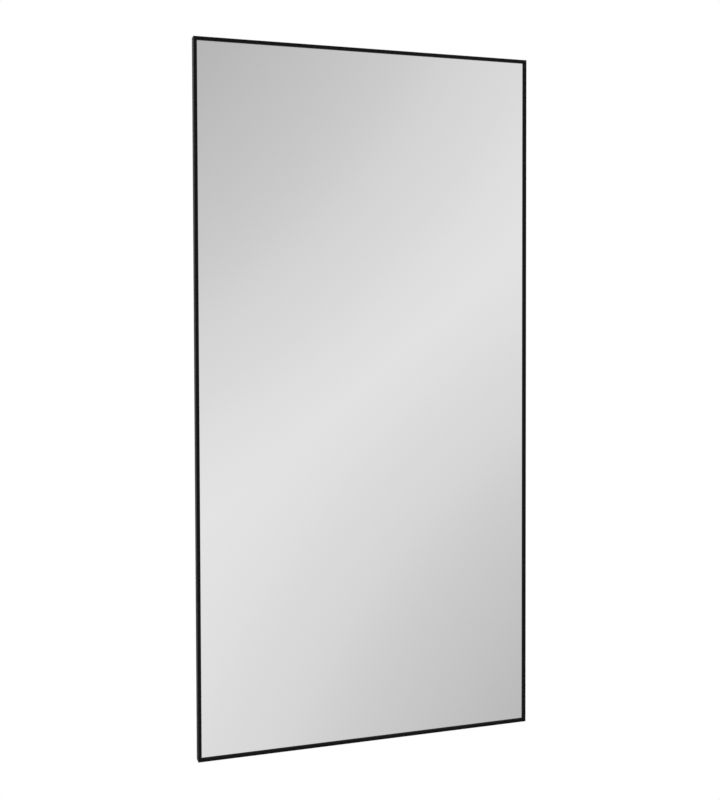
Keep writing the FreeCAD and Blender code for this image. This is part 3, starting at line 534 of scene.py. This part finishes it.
# ------------------------------------------------------------ cages and balls
# Thin steel channels with punched pockets that keep the balls apart, and the 3 mm balls themselves.
# The cages are bare pressed strip, oiled. The balls are ground, polished and lightly greased.

CAGE_STEEL = "#9DA1A4"
OIL_STAIN = "#85847C"
BALL_STEEL = "#D2D4D6"
GREASED = "#B9B8AC"
STAIN = 18                 # mm across an oil stain
PRESS_LINES = (40, 0.8, 0.8)  # mm along and across the strip; real lines are finer, too fine to show
SMEAR = 1.2                # mm across a smear of grease


def oiled_strip():
    """Bare cold rolled strip: a grey metal with thin oil that stains it here and there."""
    material, tree, shader, where = finish_named("steel_strip_oiled", metallic=1.0)
    stain = add(tree, "TexNoise", {"Vector": where, "Scale": per(STAIN), "Detail": 5.0})
    tone = add(tree, "ValToRGB", {"Fac": stain.outputs["Fac"]}, [(0.38, OIL_STAIN), (0.55, CAGE_STEEL)])
    wet = add(tree, "MapRange", {"Value": stain.outputs["Fac"], "To Min": 0.2, "To Max": 0.45})
    fine_place = add(tree, "Mapping", {"Vector": where, "Scale": [per(size) for size in PRESS_LINES]})
    fine = add(tree, "TexNoise", {"Vector": fine_place.outputs["Vector"], "Scale": 1.0})
    bump = add(tree, "Bump", {"Height": fine.outputs["Fac"], "Strength": 0.2, "Distance": 0.02 * MM})
    feed(shader, tone.outputs["Color"], wet.outputs["Result"], bump)
    return material


def greased_ball():
    """Polished bearing steel: a near mirror, smeared with clear grease."""
    material, tree, shader, where = finish_named("steel_ball_polished", metallic=1.0)
    smear = add(tree, "TexNoise", {"Vector": where, "Scale": per(SMEAR), "Detail": 3.0})
    tone = add(tree, "ValToRGB", {"Fac": smear.outputs["Fac"]}, [(0.35, GREASED), (0.6, BALL_STEEL)])
    wet = add(tree, "MapRange", {"Value": smear.outputs["Fac"], "To Min": 0.16, "To Max": 0.04})
    bump = add(tree, "Bump", {"Height": smear.outputs["Fac"], "Strength": 0.1, "Distance": 0.02 * MM})
    feed(shader, tone.outputs["Color"], wet.outputs["Result"], bump)
    return material


cage_finish = oiled_strip()
ball_finish = greased_ball()
for level in ("upper", "lower"):
    for ring in ("outer", "inner"):
        dress(frame["nodes"][f"{ring}_cage_{level}"], cage_finish)
        balls = frame["nodes"][f"{ring}_balls_{level}"]
        dress(balls, ball_finish)
        balls.data.shade_smooth()

# ------------------------------------------------------------ carriage posts
# Two upright tubes of 1.5 mm steel, a wide one that carries the hinge and a narrower one behind it.
# They are drilled for the slides' screws and powder coated black like the base.

for name in ("leading_post", "rear_post"):
    deburred(name, powder_black)

# ------------------------------------------------------------ post end plugs
# Moulded nylon plugs pressed into the ends of the rear post, with a slightly domed head. The mould
# was spark eroded, which gives a fine even grain.

NYLON_BLACK = "#202122"
NYLON_RUBBED = "#2D2E2F"
HANDLED = 7                # mm across a rubbed patch
SPARK_GRAIN = 0.7          # mm; the real grain is under 0.1 mm, too fine to show
PLUG_EDGE = 0.6 * MM


def moulded_nylon():
    """Black glass filled nylon: satin, with a fine moulded grain and rubbed high spots."""
    material, tree, shader, where = finish_named("nylon_moulded_black")
    rub = add(tree, "TexNoise", {"Vector": where, "Scale": per(HANDLED), "Detail": 4.0})
    tone = add(tree, "ValToRGB", {"Fac": rub.outputs["Fac"]},
               [(0.42, NYLON_BLACK), (0.72, NYLON_RUBBED)])
    sheen = add(tree, "MapRange", {"Value": rub.outputs["Fac"], "To Min": 0.55, "To Max": 0.38})
    grain = add(tree, "TexVoronoi", {"Vector": where, "Scale": per(SPARK_GRAIN)})
    bump = add(tree, "Bump", {"Height": grain.outputs["Distance"], "Strength": 0.3,
                              "Distance": 0.06 * MM})
    feed(shader, tone.outputs["Color"], sheen.outputs["Result"], bump)
    return material


nylon_black = moulded_nylon()
deburred("rear_post_plugs", nylon_black, width=PLUG_EDGE)

# ------------------------------------------------------------ hinge bearings
# In each end of the leading post a zinc plated steel block holds a flanged bronze bush. A nylon
# washer lies on its flange, and a short steel stop pin stands beside it.

BRONZE = "#A07A45"
BRONZE_OILED = "#6F5330"
NYLON_WHITE = "#E3E1DA"
NYLON_SOILED = "#CFCBC0"
PORE = 0.6                 # mm between pores; real ones are under 0.1 mm, too fine to show
OIL_PATCH = 4              # mm across the patches that the oil darkens
SMUDGE = 3                 # mm
TOOL_MARK = 0.5            # mm
SMALL_EDGE = 0.12 * MM
STOP_PIN_EDGE = 0.4 * MM


def sintered_bronze():
    """Pressed and sintered bronze: a warm dull metal full of tiny pores that hold oil."""
    material, tree, shader, where = finish_named("bronze_sintered_oiled", metallic=1.0)
    pores = add(tree, "TexVoronoi", {"Vector": where, "Scale": per(PORE)})
    oil = add(tree, "TexNoise", {"Vector": where, "Scale": per(OIL_PATCH), "Detail": 4.0})
    tone = add(tree, "ValToRGB", {"Fac": oil.outputs["Fac"]}, [(0.35, BRONZE_OILED), (0.6, BRONZE)])
    dull = add(tree, "MapRange", {"Value": oil.outputs["Fac"], "To Min": 0.28, "To Max": 0.5})
    bump = add(tree, "Bump", {"Height": pores.outputs["Distance"], "Strength": 0.35,
                              "Distance": 0.05 * MM})
    feed(shader, tone.outputs["Color"], dull.outputs["Result"], bump)
    return material


def natural_nylon():
    """Natural nylon, turned: milky white and waxy, with faint marks from the cutting tool."""
    material, tree, shader, where = finish_named("nylon_turned_natural")
    smudge = add(tree, "TexNoise", {"Vector": where, "Scale": per(SMUDGE), "Detail": 4.0})
    tone = add(tree, "ValToRGB", {"Fac": smudge.outputs["Fac"]},
               [(0.35, NYLON_SOILED), (0.6, NYLON_WHITE)])
    marks = add(tree, "TexNoise", {"Vector": where, "Scale": per(TOOL_MARK), "Detail": 1.0})
    bump = add(tree, "Bump", {"Height": marks.outputs["Fac"], "Strength": 0.2, "Distance": 0.03 * MM})
    waxy = add(tree, "MapRange", {"Value": smudge.outputs["Fac"], "To Min": 0.3, "To Max": 0.5})
    feed(shader, tone.outputs["Color"], waxy.outputs["Result"], bump)
    shader.inputs["Subsurface Weight"].default_value = 0.1
    shader.inputs["Subsurface Radius"].default_value = (1 * MM, 0.8 * MM, 0.6 * MM)
    return material


bronze = sintered_bronze()
nylon_natural = natural_nylon()
for level in ("upper", "lower"):
    deburred(f"pivot_block_{level}", zinc_plain, width=SMALL_EDGE)
    deburred(f"pivot_bush_{level}", bronze, width=SMALL_EDGE)
    deburred(f"thrust_washer_{level}", nylon_natural, width=SMALL_EDGE)
deburred("stop_pins", plated, width=STOP_PIN_EDGE)

# ------------------------------------------------------------ carriage screws
# Four button-head screws through the inner members into nuts inside the posts. Cold headed steel,
# zinc plated, with a hexagon socket.

HEX_SHARE = 0.5            # the socket's half width across flats, of the head's radius
HEX_DEPTH = 0.6            # of the head's height
HEX_RIM = 1.32             # where the dome starts, of the socket's half width
DOME_EDGE = 0.22           # how high the dome's edge stands, of the head's height
DOME_STEPS = 6
SEAT_ROUND = (0.96, 0.05)  # the seat's rounding: where it starts, and its height
TIP_LONG = 0.5 * MM        # the chamfer at the screw's tip
TIP_DEEP = 0.4 * MM


def button_screw(work, points, out):
    """One button-head screw in place of a node's plain one; out points away from its head's seat."""
    low, high = span(points)
    axis = Vector(((low.x + high.x) / 2, 0, (low.z + high.z) / 2))
    head = (high.x - low.x) / 2
    reaches = sorted((point.dot(out), (Vector((point.x, 0, point.z)) - axis).length)
                     for point in points)
    tip, top = reaches[0][0], reaches[-1][0]
    shank = max(reach for along, reach in reaches if along < tip + IN_LINE)
    seat = min(along for along, reach in reaches if reach > 0.99 * head)
    tall = top - seat
    floor_height = tall * (1 - HEX_DEPTH)
    socket = HEX_SHARE * head
    rim = HEX_RIM * socket
    dome = []
    for index in range(DOME_STEPS + 1):
        turn = index / DOME_STEPS * math.pi / 2
        dome.append((rim + (head - rim) * math.sin(turn),
                     tall * (DOME_EDGE + (1 - DOME_EDGE) * math.cos(turn)), 0))
    inwards, upwards = SEAT_ROUND
    end = tip - seat
    profile = ([(0, floor_height, 0), (socket, floor_height, 6), (socket, tall, 6)] + dome
               + [(head, upwards * tall, 0), (inwards * head, 0, 0), (shank, 0, 0),
                  (shank, end + TIP_LONG, 0), (shank - TIP_DEEP, end, 0), (0, end, 0)])
    turned(work, profile, axis + out * seat, out)


def screw_set(name, out):
    """All the screws of one node as one piece."""
    work = bmesh.new()
    for points in solids(name):
        button_screw(work, points, out)
    piece = new_piece(f"{name}_button_head", work)
    smooth(piece)
    stand_for(piece, name, plated)


screw_set("carriage_screws", BACKWARD)
deburred("carriage_nuts", plated, width=SMALL_EDGE)

# ------------------------------------------------------------ magnetic catch
# A moulded nylon housing screwed to the middle of the rear post, with two nickel plated disc
# magnets pressed into it. It draws the mirror's strike plate and keeps the mirror straight.

NICKEL = "#C2C2C0"
NICKEL_WARM = "#B9B7B2"
SCUFF = 1.6                # mm across a scuffed spot
HOUSING_EDGE = 0.4 * MM
MAGNET_EDGE = 0.3 * MM


def nickel_plate():
    """Nickel on a pressed magnet: a warm bright metal, lightly scuffed where the strike plate lands."""
    material, tree, shader, where = finish_named("magnet_nickel_plated", metallic=1.0)
    scuff = add(tree, "TexNoise", {"Vector": where, "Scale": per(SCUFF), "Detail": 5.0,
                                   "Roughness": 0.6})
    tone = add(tree, "ValToRGB", {"Fac": scuff.outputs["Fac"]}, [(0.38, NICKEL_WARM), (0.56, NICKEL)])
    dull = add(tree, "MapRange", {"Value": scuff.outputs["Fac"], "From Min": 0.3, "From Max": 0.7,
                                  "To Min": 0.34, "To Max": 0.16})
    bump = add(tree, "Bump", {"Height": scuff.outputs["Fac"], "Strength": 0.12, "Distance": 0.02 * MM})
    feed(shader, tone.outputs["Color"], dull.outputs["Result"], bump)
    return material


deburred("catch_housing", nylon_black, width=HOUSING_EDGE)
deburred("catch_magnets", nickel_plate(), width=MAGNET_EDGE)
screw_set("catch_screws", -BACKWARD)

# ------------------------------------------------------------ mirror frame
# Four lengths of slim aluminium profile, mitred at the corners. They are anodised and dyed black,
# which leaves the fine lines of the extrusion die showing under a satin surface.

ANODISED_BLACK = "#0B0B0B"
ANODISED_LIFT = "#131312"
DIE_LINE = 1.2             # mm between die lines; real ones are about 0.2 mm, too fine to show
DIE_LENGTH = 900           # mm that one line runs
MITRE_EDGE = 0.12 * MM


def black_anodising(along):
    """Black dyed anodising: deep black, satin, with lines along the profile."""
    material, tree, shader, where = finish_named(f"aluminium_anodised_black_{along}")
    stretch = [per(DIE_LENGTH) if axis == along else per(DIE_LINE) for axis in "xyz"]
    line_place = add(tree, "Mapping", {"Vector": where, "Scale": stretch})
    lines = add(tree, "TexNoise", {"Vector": line_place.outputs["Vector"], "Scale": 1.0, "Detail": 2.0})
    tone = add(tree, "ValToRGB", {"Fac": lines.outputs["Fac"]},
               [(0.3, ANODISED_BLACK), (0.75, ANODISED_LIFT)])
    satin = add(tree, "MapRange", {"Value": lines.outputs["Fac"], "From Min": 0.3, "From Max": 0.7,
                                   "To Min": 0.42, "To Max": 0.56})
    bump = add(tree, "Bump", {"Height": lines.outputs["Fac"], "Strength": 0.2, "Distance": 0.02 * MM})
    feed(shader, tone.outputs["Color"], satin.outputs["Result"], bump)
    shader.inputs["Specular IOR Level"].default_value = 0.07
    return material


upright_black = black_anodising("z")
level_black = black_anodising("x")
for side, finish in (("left", upright_black), ("right", upright_black), ("top", level_black),
                     ("bottom", level_black)):
    deburred(f"frame_{side}", finish, width=MITRE_EDGE)

# ------------------------------------------------------------ mirror glass
# One pane of 4 mm float glass, silvered and painted on the back, its edges ground. It lies behind
# the frame's front lip.

SILVERED = "#F2F3F2"
GLASS_EDGE = "#86A596"
BACK_PAINT = "#5D6163"
ROLLER_WAVE = 180          # mm between the faint waves that a float line leaves
HAZE = 70                  # mm across the patches that are a trace less clear
EDGE_ROUGHNESS = 0.4       # of the ground edges and the back paint
EDGE_FROM = 0.2            # which way a face looks, from 0 for the front to 1 for the back
BACK_FROM = 0.8


def silvered_glass():
    """Silvered float glass: a clear reflection with a trace of green, and very faint waves."""
    material, tree, shader, where = finish_named("float_glass_silvered")
    facing = add(tree, "SeparateXYZ", {"Vector": tree.nodes["Texture Coordinate"].outputs["Normal"]})
    side = add(tree, "MapRange", {"Value": facing.outputs["Y"], "From Min": -1.0, "From Max": 1.0})
    tone = add(tree, "ValToRGB", {"Fac": side.outputs["Result"]},
               [(0.0, SILVERED), (EDGE_FROM, GLASS_EDGE), (BACK_FROM, BACK_PAINT)])
    tone.color_ramp.interpolation = "CONSTANT"
    metal = add(tree, "Math", {0: side.outputs["Result"], 1: EDGE_FROM}, operation="LESS_THAN")
    wave = add(tree, "TexNoise", {"Vector": where, "Scale": per(ROLLER_WAVE), "Detail": 0.0})
    haze = add(tree, "TexNoise", {"Vector": where, "Scale": per(HAZE), "Detail": 5.0})
    clear = add(tree, "MapRange", {"Value": haze.outputs["Fac"], "To Min": 0.008, "To Max": 0.03})
    dull = add(tree, "Math", {0: metal.outputs["Value"], 1: 1.0}, operation="SUBTRACT")
    rough = add(tree, "Math", {0: dull.outputs["Value"], 1: -EDGE_ROUGHNESS,
                               2: clear.outputs["Result"]}, operation="MULTIPLY_ADD")
    bump = add(tree, "Bump", {"Height": wave.outputs["Fac"], "Strength": 0.1, "Distance": 0.05 * MM})
    tree.links.new(metal.outputs["Value"], shader.inputs["Metallic"])
    feed(shader, tone.outputs["Color"], rough.outputs["Value"], bump)
    return material


dress(frame["nodes"]["mirror_glass"], silvered_glass())

# ------------------------------------------------------------ safety film
# A thin polyethylene film glued to the painted back of the glass, which holds the pieces together
# if the glass breaks. A fine weave of threads stiffens it.

FILM = "#C9CCCB"
FILM_THREAD = "#B5B9B8"
FILM_MESH = 3              # mm between threads


def woven_film():
    """Polyethylene film over a thread mesh: pale grey, waxy, with a fine raised grid."""
    material, tree, shader, where = finish_named("polyethylene_film_woven")
    thread_place = add(tree, "Mapping", {"Vector": where, "Scale": (per(FILM_MESH),) * 3})
    across = add(tree, "TexWave", {"Vector": thread_place.outputs["Vector"], "Scale": 1.0},
                 bands_direction="X")
    up = add(tree, "TexWave", {"Vector": thread_place.outputs["Vector"], "Scale": 1.0},
             bands_direction="Z")
    grid = add(tree, "Math", {0: across.outputs["Fac"], 1: up.outputs["Fac"]}, operation="MAXIMUM")
    tone = add(tree, "ValToRGB", {"Fac": grid.outputs["Value"]}, [(0.7, FILM), (0.95, FILM_THREAD)])
    waxy = add(tree, "MapRange", {"Value": grid.outputs["Value"], "To Min": 0.35, "To Max": 0.5})
    bump = add(tree, "Bump", {"Height": grid.outputs["Value"], "Strength": 0.3, "Distance": 0.05 * MM})
    feed(shader, tone.outputs["Color"], waxy.outputs["Result"], bump)
    return material


dress(frame["nodes"]["safety_film"], woven_film())

# ------------------------------------------------------------ backing board
# A sheet of 5 mm hardboard behind the glass, faced with black kraft paper. The frame's rear lips
# and the corner plates hold it in.

PAPER_BLACK = "#2B2A29"
PAPER_GREY = "#3B3937"
PAPER_FIBRE = "#4E4B47"
PULP = 22                  # mm across a cloud of pulp
FIBRES = (5, 2, 2)         # mm along and across a fibre; real ones are finer, too fine to show


def faced_hardboard():
    """Black kraft paper: soft and matt, with pale fibres and cloudy pulp."""
    material, tree, shader, where = finish_named("hardboard_black_paper")
    pulp = add(tree, "TexNoise", {"Vector": where, "Scale": per(PULP), "Detail": 8.0,
                                  "Roughness": 0.65})
    tone = add(tree, "ValToRGB", {"Fac": pulp.outputs["Fac"]},
               [(0.35, PAPER_BLACK), (0.68, PAPER_GREY)])
    fibre_place = add(tree, "Mapping", {"Vector": where, "Scale": [per(size) for size in FIBRES]})
    fibre = add(tree, "TexNoise", {"Vector": fibre_place.outputs["Vector"], "Scale": 1.0, "Detail": 5.0,
                                   "Distortion": 2.2})
    stray = add(tree, "MapRange", {"Value": fibre.outputs["Fac"], "From Min": 0.56, "From Max": 0.74,
                                   "To Max": 0.4})
    colour = add(tree, "MixRGB", {"Fac": stray.outputs["Result"], "Color1": tone.outputs["Color"],
                                  "Color2": linear(PAPER_FIBRE)})
    dull = add(tree, "MapRange", {"Value": pulp.outputs["Fac"], "To Min": 0.78, "To Max": 0.95})
    bump = add(tree, "Bump", {"Height": fibre.outputs["Fac"], "Strength": 0.35, "Distance": 0.08 * MM})
    feed(shader, colour.outputs["Color"], dull.outputs["Result"], bump)
    shader.inputs["Specular IOR Level"].default_value = 0.25
    return material


dress(frame["nodes"]["backing_board"], faced_hardboard())

# ------------------------------------------------------------ corner plates
# Four flat steel angles screwed across the mitres from behind, blanked from zinc plated sheet, with
# four small button-head screws each.

PLATE_EDGE = 0.2 * MM
deburred("corner_plates", zinc_plain, width=PLATE_EDGE)
screw_set("corner_screws", BACKWARD)

# ------------------------------------------------------------ cross rails
# Three flat aluminium bars across the panel's back, clear anodised, screwed to the rear lips at
# both ends. The upper and lower one carry the hinge arms, the middle one the strike plate.

ANODISED_CLEAR = "#B2B4B6"
ANODISED_SHADE = "#9C9EA1"


def clear_anodising():
    """Clear anodised extrusion: an even pale grey metal with soft lines along the bar."""
    material, tree, shader, where = finish_named("aluminium_anodised_clear", metallic=1.0)
    stretch = [per(DIE_LENGTH), per(DIE_LINE), per(DIE_LINE)]
    line_place = add(tree, "Mapping", {"Vector": where, "Scale": stretch})
    lines = add(tree, "TexNoise", {"Vector": line_place.outputs["Vector"], "Scale": 1.0, "Detail": 3.0})
    tone = add(tree, "ValToRGB", {"Fac": lines.outputs["Fac"]},
               [(0.3, ANODISED_SHADE), (0.65, ANODISED_CLEAR)])
    satin = add(tree, "MapRange", {"Value": lines.outputs["Fac"], "From Min": 0.3, "From Max": 0.7,
                                   "To Min": 0.34, "To Max": 0.46})
    bump = add(tree, "Bump", {"Height": lines.outputs["Fac"], "Strength": 0.25, "Distance": 0.03 * MM})
    feed(shader, tone.outputs["Color"], satin.outputs["Result"], bump)
    return material


clear_anodised = clear_anodising()
for level in ("upper", "middle", "lower"):
    deburred(f"cross_rail_{level}", clear_anodised)
screw_set("cross_rail_screws", BACKWARD)

# ------------------------------------------------------------ hinge arms
# Two folded angles of 3 mm steel, powder coated black. One leaf is screwed to a cross rail, the
# other turns on the pivot pin, and a curved slot in it runs round the stop pin.

PIVOT_PIN_EDGE = 0.5 * MM
FOLD_LINE = 5 * MM         # the fold is longer than this, and the chamfers beside it are shorter


def arm_fold(name):
    """Picks the outer line of a hinge arm's fold, where its leaf meets the cross rail."""
    low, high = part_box(name)
    heel = low.z if low.z > 0 else high.z

    def picks(start, end):
        along = abs(start.x - end.x) > FOLD_LINE and abs(start.z - end.z) < IN_LINE
        return along and all(abs(point.y - low.y) < IN_LINE and abs(point.z - heel) < IN_LINE
                             for point in (start, end))
    return picks


for level in ("upper", "lower"):
    deburred(f"hinge_arm_{level}", powder_black, bend=arm_fold(f"hinge_arm_{level}"))
    deburred(f"pivot_pin_{level}", plated, width=PIVOT_PIN_EDGE)
screw_set("hinge_screws", BACKWARD)

# ------------------------------------------------------------ strike plate
# A small steel plate on the middle cross rail that the catch's magnets hold. Zinc plated sheet,
# fixed with two small button-head screws.

deburred("strike_plate", zinc_plain, width=PLATE_EDGE)
screw_set("strike_screws", BACKWARD)

# ------------------------------------------------------------ studio
# A pale floor below the mirror, a world that is white behind it and a soft grey studio in its
# reflections, three large soft lamps above, and a camera with a 50 mm lens.

scene = bpy.context.scene
scene.view_settings.view_transform = "Standard"
FLOOR_DROP = 0.4           # metres from the mirror's lower edge to the floor
FLOOR_RADIUS = 6.0
FLOOR_CLOUD = 40           # mm across the faint clouds in its colour
FLOOR_PALE = "#F0EFEE"
FLOOR_LIGHT = "#F2F1F0"
CLEAR_FROM = 0.25          # the floor fades to plain white between these distances
CLEAR_TO = 0.75
# The pale studio that the mirror and the bare metal show has five soft grey areas: high in front,
# low on the right, below on the left, and two that the mirror shows when it is turned, on the right
# and low behind. Each has its middle, and its tones by the cosine of the angle from there.
TURNED_TONES = [(0.35, "#FAFAFA"), (0.75, "#EEEEEE"), (0.88, "#D9D9D9"), (0.95, "#C4C4C4"),
                (1.0, "#B4B4B4")]
STUDIO_GREYS = [
    (Vector((-0.095, -0.901, 0.423)), [(0.35, "#FAFAFA"), (0.77, "#F1F1F1"), (0.83, "#E7E7E7"),
                                       (0.88, "#D9D9D9"), (0.94, "#C2C2C2"), (1.0, "#AEAEAE")]),
    (Vector((0.644, -0.579, -0.500)), [(0.35, "#FAFAFA"), (0.75, "#F1F1F1"), (0.81, "#E8E8E8"),
                                       (0.86, "#DCDCDC"), (0.92, "#C5C5C5"), (1.0, "#B0B0B0")]),
    (Vector((-0.503, 0.0, -0.864)), [(0.35, "#FAFAFA"), (0.60, "#DCDCDC"), (1.0, "#989898")]),
    (Vector((0.936, 0.342, 0.084)), TURNED_TONES),
    (Vector((0.298, 0.816, -0.497)), TURNED_TONES),
]
# Each lamp: where it stands, how wide it is, and its power in watts.
LAMPS = {
    "key": (Vector((-1.5, -1.9, 2.3)), 1.6, 20.0),
    "fill": (Vector((2.2, -1.4, 1.7)), 1.8, 12.0),
    "back": (Vector((-0.6, 2.4, 2.0)), 1.8, 20.0),
}
CAMERA_PLACE = Vector((-0.5007, -1.5696, 0.1229))
CAMERA_TURN = math.radians(17.80)
CAMERA_DOWN = math.radians(1.621)
CAMERA_ROLL = math.radians(-0.156)
CAMERA_SHIFT = -0.07


def any_ray(tree, *kinds):
    """One for a ray of any of these kinds, and nought for all others."""
    path = add(tree, "LightPath")
    share = path.outputs[f"Is {kinds[0]} Ray"]
    for kind in kinds[1:]:
        share = add(tree, "Math", {0: share, 1: path.outputs[f"Is {kind} Ray"]},
                    operation="MAXIMUM").outputs["Value"]
    return share


low, high = cad_box
work = bmesh.new()
bmesh.ops.create_circle(work, cap_ends=True, segments=96, radius=FLOOR_RADIUS,
                        matrix=Matrix.Translation((0, 0, low[2] - FLOOR_DROP)))
floor = new_piece("studio_floor", work)
material, tree, shader, where = finish_named("floor_pale_matt", roughness=0.9)
cloud = add(tree, "TexNoise", {"Vector": where, "Scale": per(FLOOR_CLOUD), "Detail": 6.0})
pale = add(tree, "ValToRGB", {"Fac": cloud.outputs["Fac"]}, [(0.3, FLOOR_PALE), (0.7, FLOOR_LIGHT)])
tree.links.new(pale.outputs["Color"], shader.inputs["Base Color"])
flat_place = add(tree, "VectorMath", {0: where, 1: (1, 1, 0)}, operation="MULTIPLY")
away = add(tree, "VectorMath", {0: flat_place.outputs["Vector"]}, operation="LENGTH")
fade = add(tree, "MapRange", {"Value": away.outputs["Value"], "From Min": CLEAR_FROM,
                              "From Max": CLEAR_TO}, interpolation_type="SMOOTHSTEP")
white_share = add(tree, "Math", {0: fade.outputs["Result"],
                                 1: any_ray(tree, "Camera", "Glossy", "Transmission")},
                  operation="MULTIPLY")
white = add(tree, "Emission", {"Color": linear("#FFFFFF"), "Strength": 1.0})
mixed = add(tree, "MixShader", {"Fac": white_share.outputs["Value"], 1: shader.outputs["BSDF"],
                                2: white.outputs["Emission"]})
tree.links.new(mixed.outputs["Shader"], tree.nodes["Material Output"].inputs["Surface"])
dress(floor, material)
floor.visible_glossy = False

world = bpy.data.worlds.new("studio")
scene.world = world
world.use_nodes = True
tree = world.node_tree
direction = add(tree, "TexCoord").outputs["Generated"]
tone = None
for aim, stops in STUDIO_GREYS:
    near = add(tree, "VectorMath", {0: direction, 1: aim}, operation="DOT_PRODUCT")
    grey = add(tree, "ValToRGB", {"Fac": near.outputs["Value"]}, stops)
    grey.color_ramp.interpolation = "CARDINAL"
    if tone:
        tone = add(tree, "MixRGB", {"Fac": 1.0, "Color1": tone.outputs["Color"],
                                    "Color2": grey.outputs["Color"]}, blend_type="DARKEN")
    else:
        tone = grey
room = add(tree, "Background", {"Color": tone.outputs["Color"], "Strength": 1.0})
plain = add(tree, "Background", {"Color": linear("#FFFFFF"), "Strength": 1.0})
chosen = add(tree, "MixShader", {"Fac": any_ray(tree, "Camera", "Transmission"),
                                 1: room.outputs["Background"], 2: plain.outputs["Background"]})
tree.links.new(chosen.outputs["Shader"], tree.nodes["World Output"].inputs["Surface"])

# From below the mirror would show the lamps as white discs, so it is left out of their light.
without_lamps = bpy.data.collections.new("without_lamps")
without_lamps.objects.link(frame["nodes"]["mirror_glass"])
without_lamps.collection_objects[0].light_linking.link_state = "EXCLUDE"
centre = Vector([(low[axis] + high[axis]) / 2 for axis in range(3)])
for name, (place, size, power) in LAMPS.items():
    light = bpy.data.lights.new(f"lamp_{name}", "AREA")
    light.shape = "DISK"
    light.size = size
    light.energy = power
    lamp = bpy.data.objects.new(f"lamp_{name}", light)
    scene.collection.objects.link(lamp)
    lamp.light_linking.receiver_collection = without_lamps
    aimed = (place - centre).to_track_quat("Z", "Y").to_matrix().to_4x4()
    lamp.matrix_world = Matrix.Translation(place) @ aimed

forward = Vector((math.sin(CAMERA_TURN) * math.cos(CAMERA_DOWN),
                  math.cos(CAMERA_TURN) * math.cos(CAMERA_DOWN), -math.sin(CAMERA_DOWN)))
right = Vector((math.cos(CAMERA_TURN), -math.sin(CAMERA_TURN), 0))
up = right.cross(forward)
right, up = (right * math.cos(CAMERA_ROLL) + up * math.sin(CAMERA_ROLL),
             up * math.cos(CAMERA_ROLL) - right * math.sin(CAMERA_ROLL))
lens = bpy.data.cameras.new("camera_50_mm")
lens.lens = 50
lens.sensor_width = 36
lens.shift_y = CAMERA_SHIFT
camera = bpy.data.objects.new("camera_50_mm", lens)
scene.collection.objects.link(camera)
turn = Matrix((right, up, -forward)).transposed()
camera.matrix_world = Matrix.Translation(CAMERA_PLACE) @ turn.to_4x4()
scene.camera = camera
